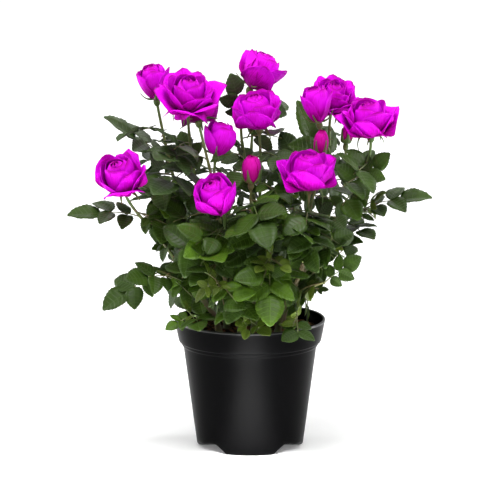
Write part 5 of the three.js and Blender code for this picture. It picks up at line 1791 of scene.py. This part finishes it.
# %% The filling
top_shares = np.linspace(1, 1 / COMPOST_RINGS, COMPOST_RINGS)
side_rings = [
    (FOOT_RADIUS - RAISED_FLOOR_WIDTH - 1, 2.4),
    (FOOT_RADIUS - RAISED_FLOOR_WIDTH - 1, 9),
    (compost_radius(12), 12),
    (compost_radius(88), 88),
]
compost_rings = side_rings + [(share * compost_radius(SOIL_TOP), compost_top(share)) for share in top_shares]
draw = seeded(COMPOST_SEED)
compost_points = []
for k, (radius, z) in enumerate(compost_rings):
    for i in range(COMPOST_SIDES):
        turn = 2 * math.pi * (i + 0.5 * (k % 2)) / COMPOST_SIDES
        lift = COMPOST_ROUGHNESS * draw() if k >= len(side_rings) else 0
        compost_points.append((radius * math.sin(turn), -radius * math.cos(turn), z + lift))
compost_faces = tube_faces(len(compost_rings), COMPOST_SIDES, 0)
compost = mesh_object("compost_filling", np.array(compost_points), compost_faces)
compost_tones = (0.012, 0.007, 0.005), (0.06, 0.03, 0.016)
compost_grain = (260, 5), (500, 6), (1.2, 0.9)
compost_finish = crumbly_finish("compost", (0.03, 0.016, 0.009), 0.95, 0.15, *compost_tones, *compost_grain)
finish_piece(compost, "compost", ["compost"], compost_finish)

# %% Bark flakes
CHIPS, CHIP_SEED, CHIP_SHAPE_SEED = 420, 808, 5
CHIP_LEAST, CHIP_MOST = 0.5, 1.25
CHIP_HALF_SIZE, CHIP_BROKEN_FROM, CHIP_BROKEN_TO = (3.2, 1.9, 0.9), 0.75, 1.2
CHIP_MARGIN, CHIP_RISE, CHIP_DEPTH, CHIP_TILT, FULL_TURN = 3.5, 1, 1.2, 0.9, 6.28


def chip_shape():
    """A broken flake, about 6 mm long."""
    block = bmesh.new()
    bmesh.ops.create_icosphere(block, subdivisions=1, radius=1)
    draw = seeded(CHIP_SHAPE_SEED)
    for corner in block.verts:
        broken = mix(CHIP_BROKEN_FROM, CHIP_BROKEN_TO, draw())
        corner.co = corner.co * Vector(CHIP_HALF_SIZE) * broken * MM
    mesh = bpy.data.meshes.new("flake")
    block.to_mesh(mesh)
    block.free()
    return bpy.data.objects.new("flake", mesh)


draw = seeded(CHIP_SEED)
chips = {"place": [], "turn": [], "size": []}
for _ in range(CHIPS):
    radius = (compost_radius(SOIL_TOP) - CHIP_MARGIN) * math.sqrt(draw())
    heading = 2 * math.pi * draw()
    height = compost_top(radius / compost_radius(SOIL_TOP)) + CHIP_RISE + CHIP_DEPTH * draw()
    chips["place"].append((radius * math.sin(heading), -radius * math.cos(heading), height))
    chips["turn"].append((CHIP_TILT * (draw() - 0.5), CHIP_TILT * (draw() - 0.5), FULL_TURN * draw()))
    chips["size"].append([mix(CHIP_LEAST, CHIP_MOST, draw())] * 3)
chip_tones = (0.05, 0.022, 0.012), (0.2, 0.085, 0.042)
chip_grain = (90, 3), (900, 5, (1, 1, 0.3)), (0.5, 0.8)
chip_finish = crumbly_finish("bark_chip", (0.12, 0.05, 0.025), 0.85, 0.2, *chip_tones, *chip_grain)
copies_piece("bark_flakes", chips, chip_shape(), chip_finish, "compost", ["compost"])

# %% [markdown]
# ## Size of the dressed rose
#
# The dressed rose must be no bigger than its solids, apart from a few millimetres for its leaves.
# Both boxes are printed, so that they can be compared.

# %% Print both boxes
dressed_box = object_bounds()
boxes = {"cad": solids_box, "visual": dressed_box}
plain = {name: [[float(v) for v in corner] for corner in box] for name, box in boxes.items()}
for name, (low, high) in plain.items():
    print(name, [round(v * 1000, 1) for v in low], [round(v * 1000, 1) for v in high])
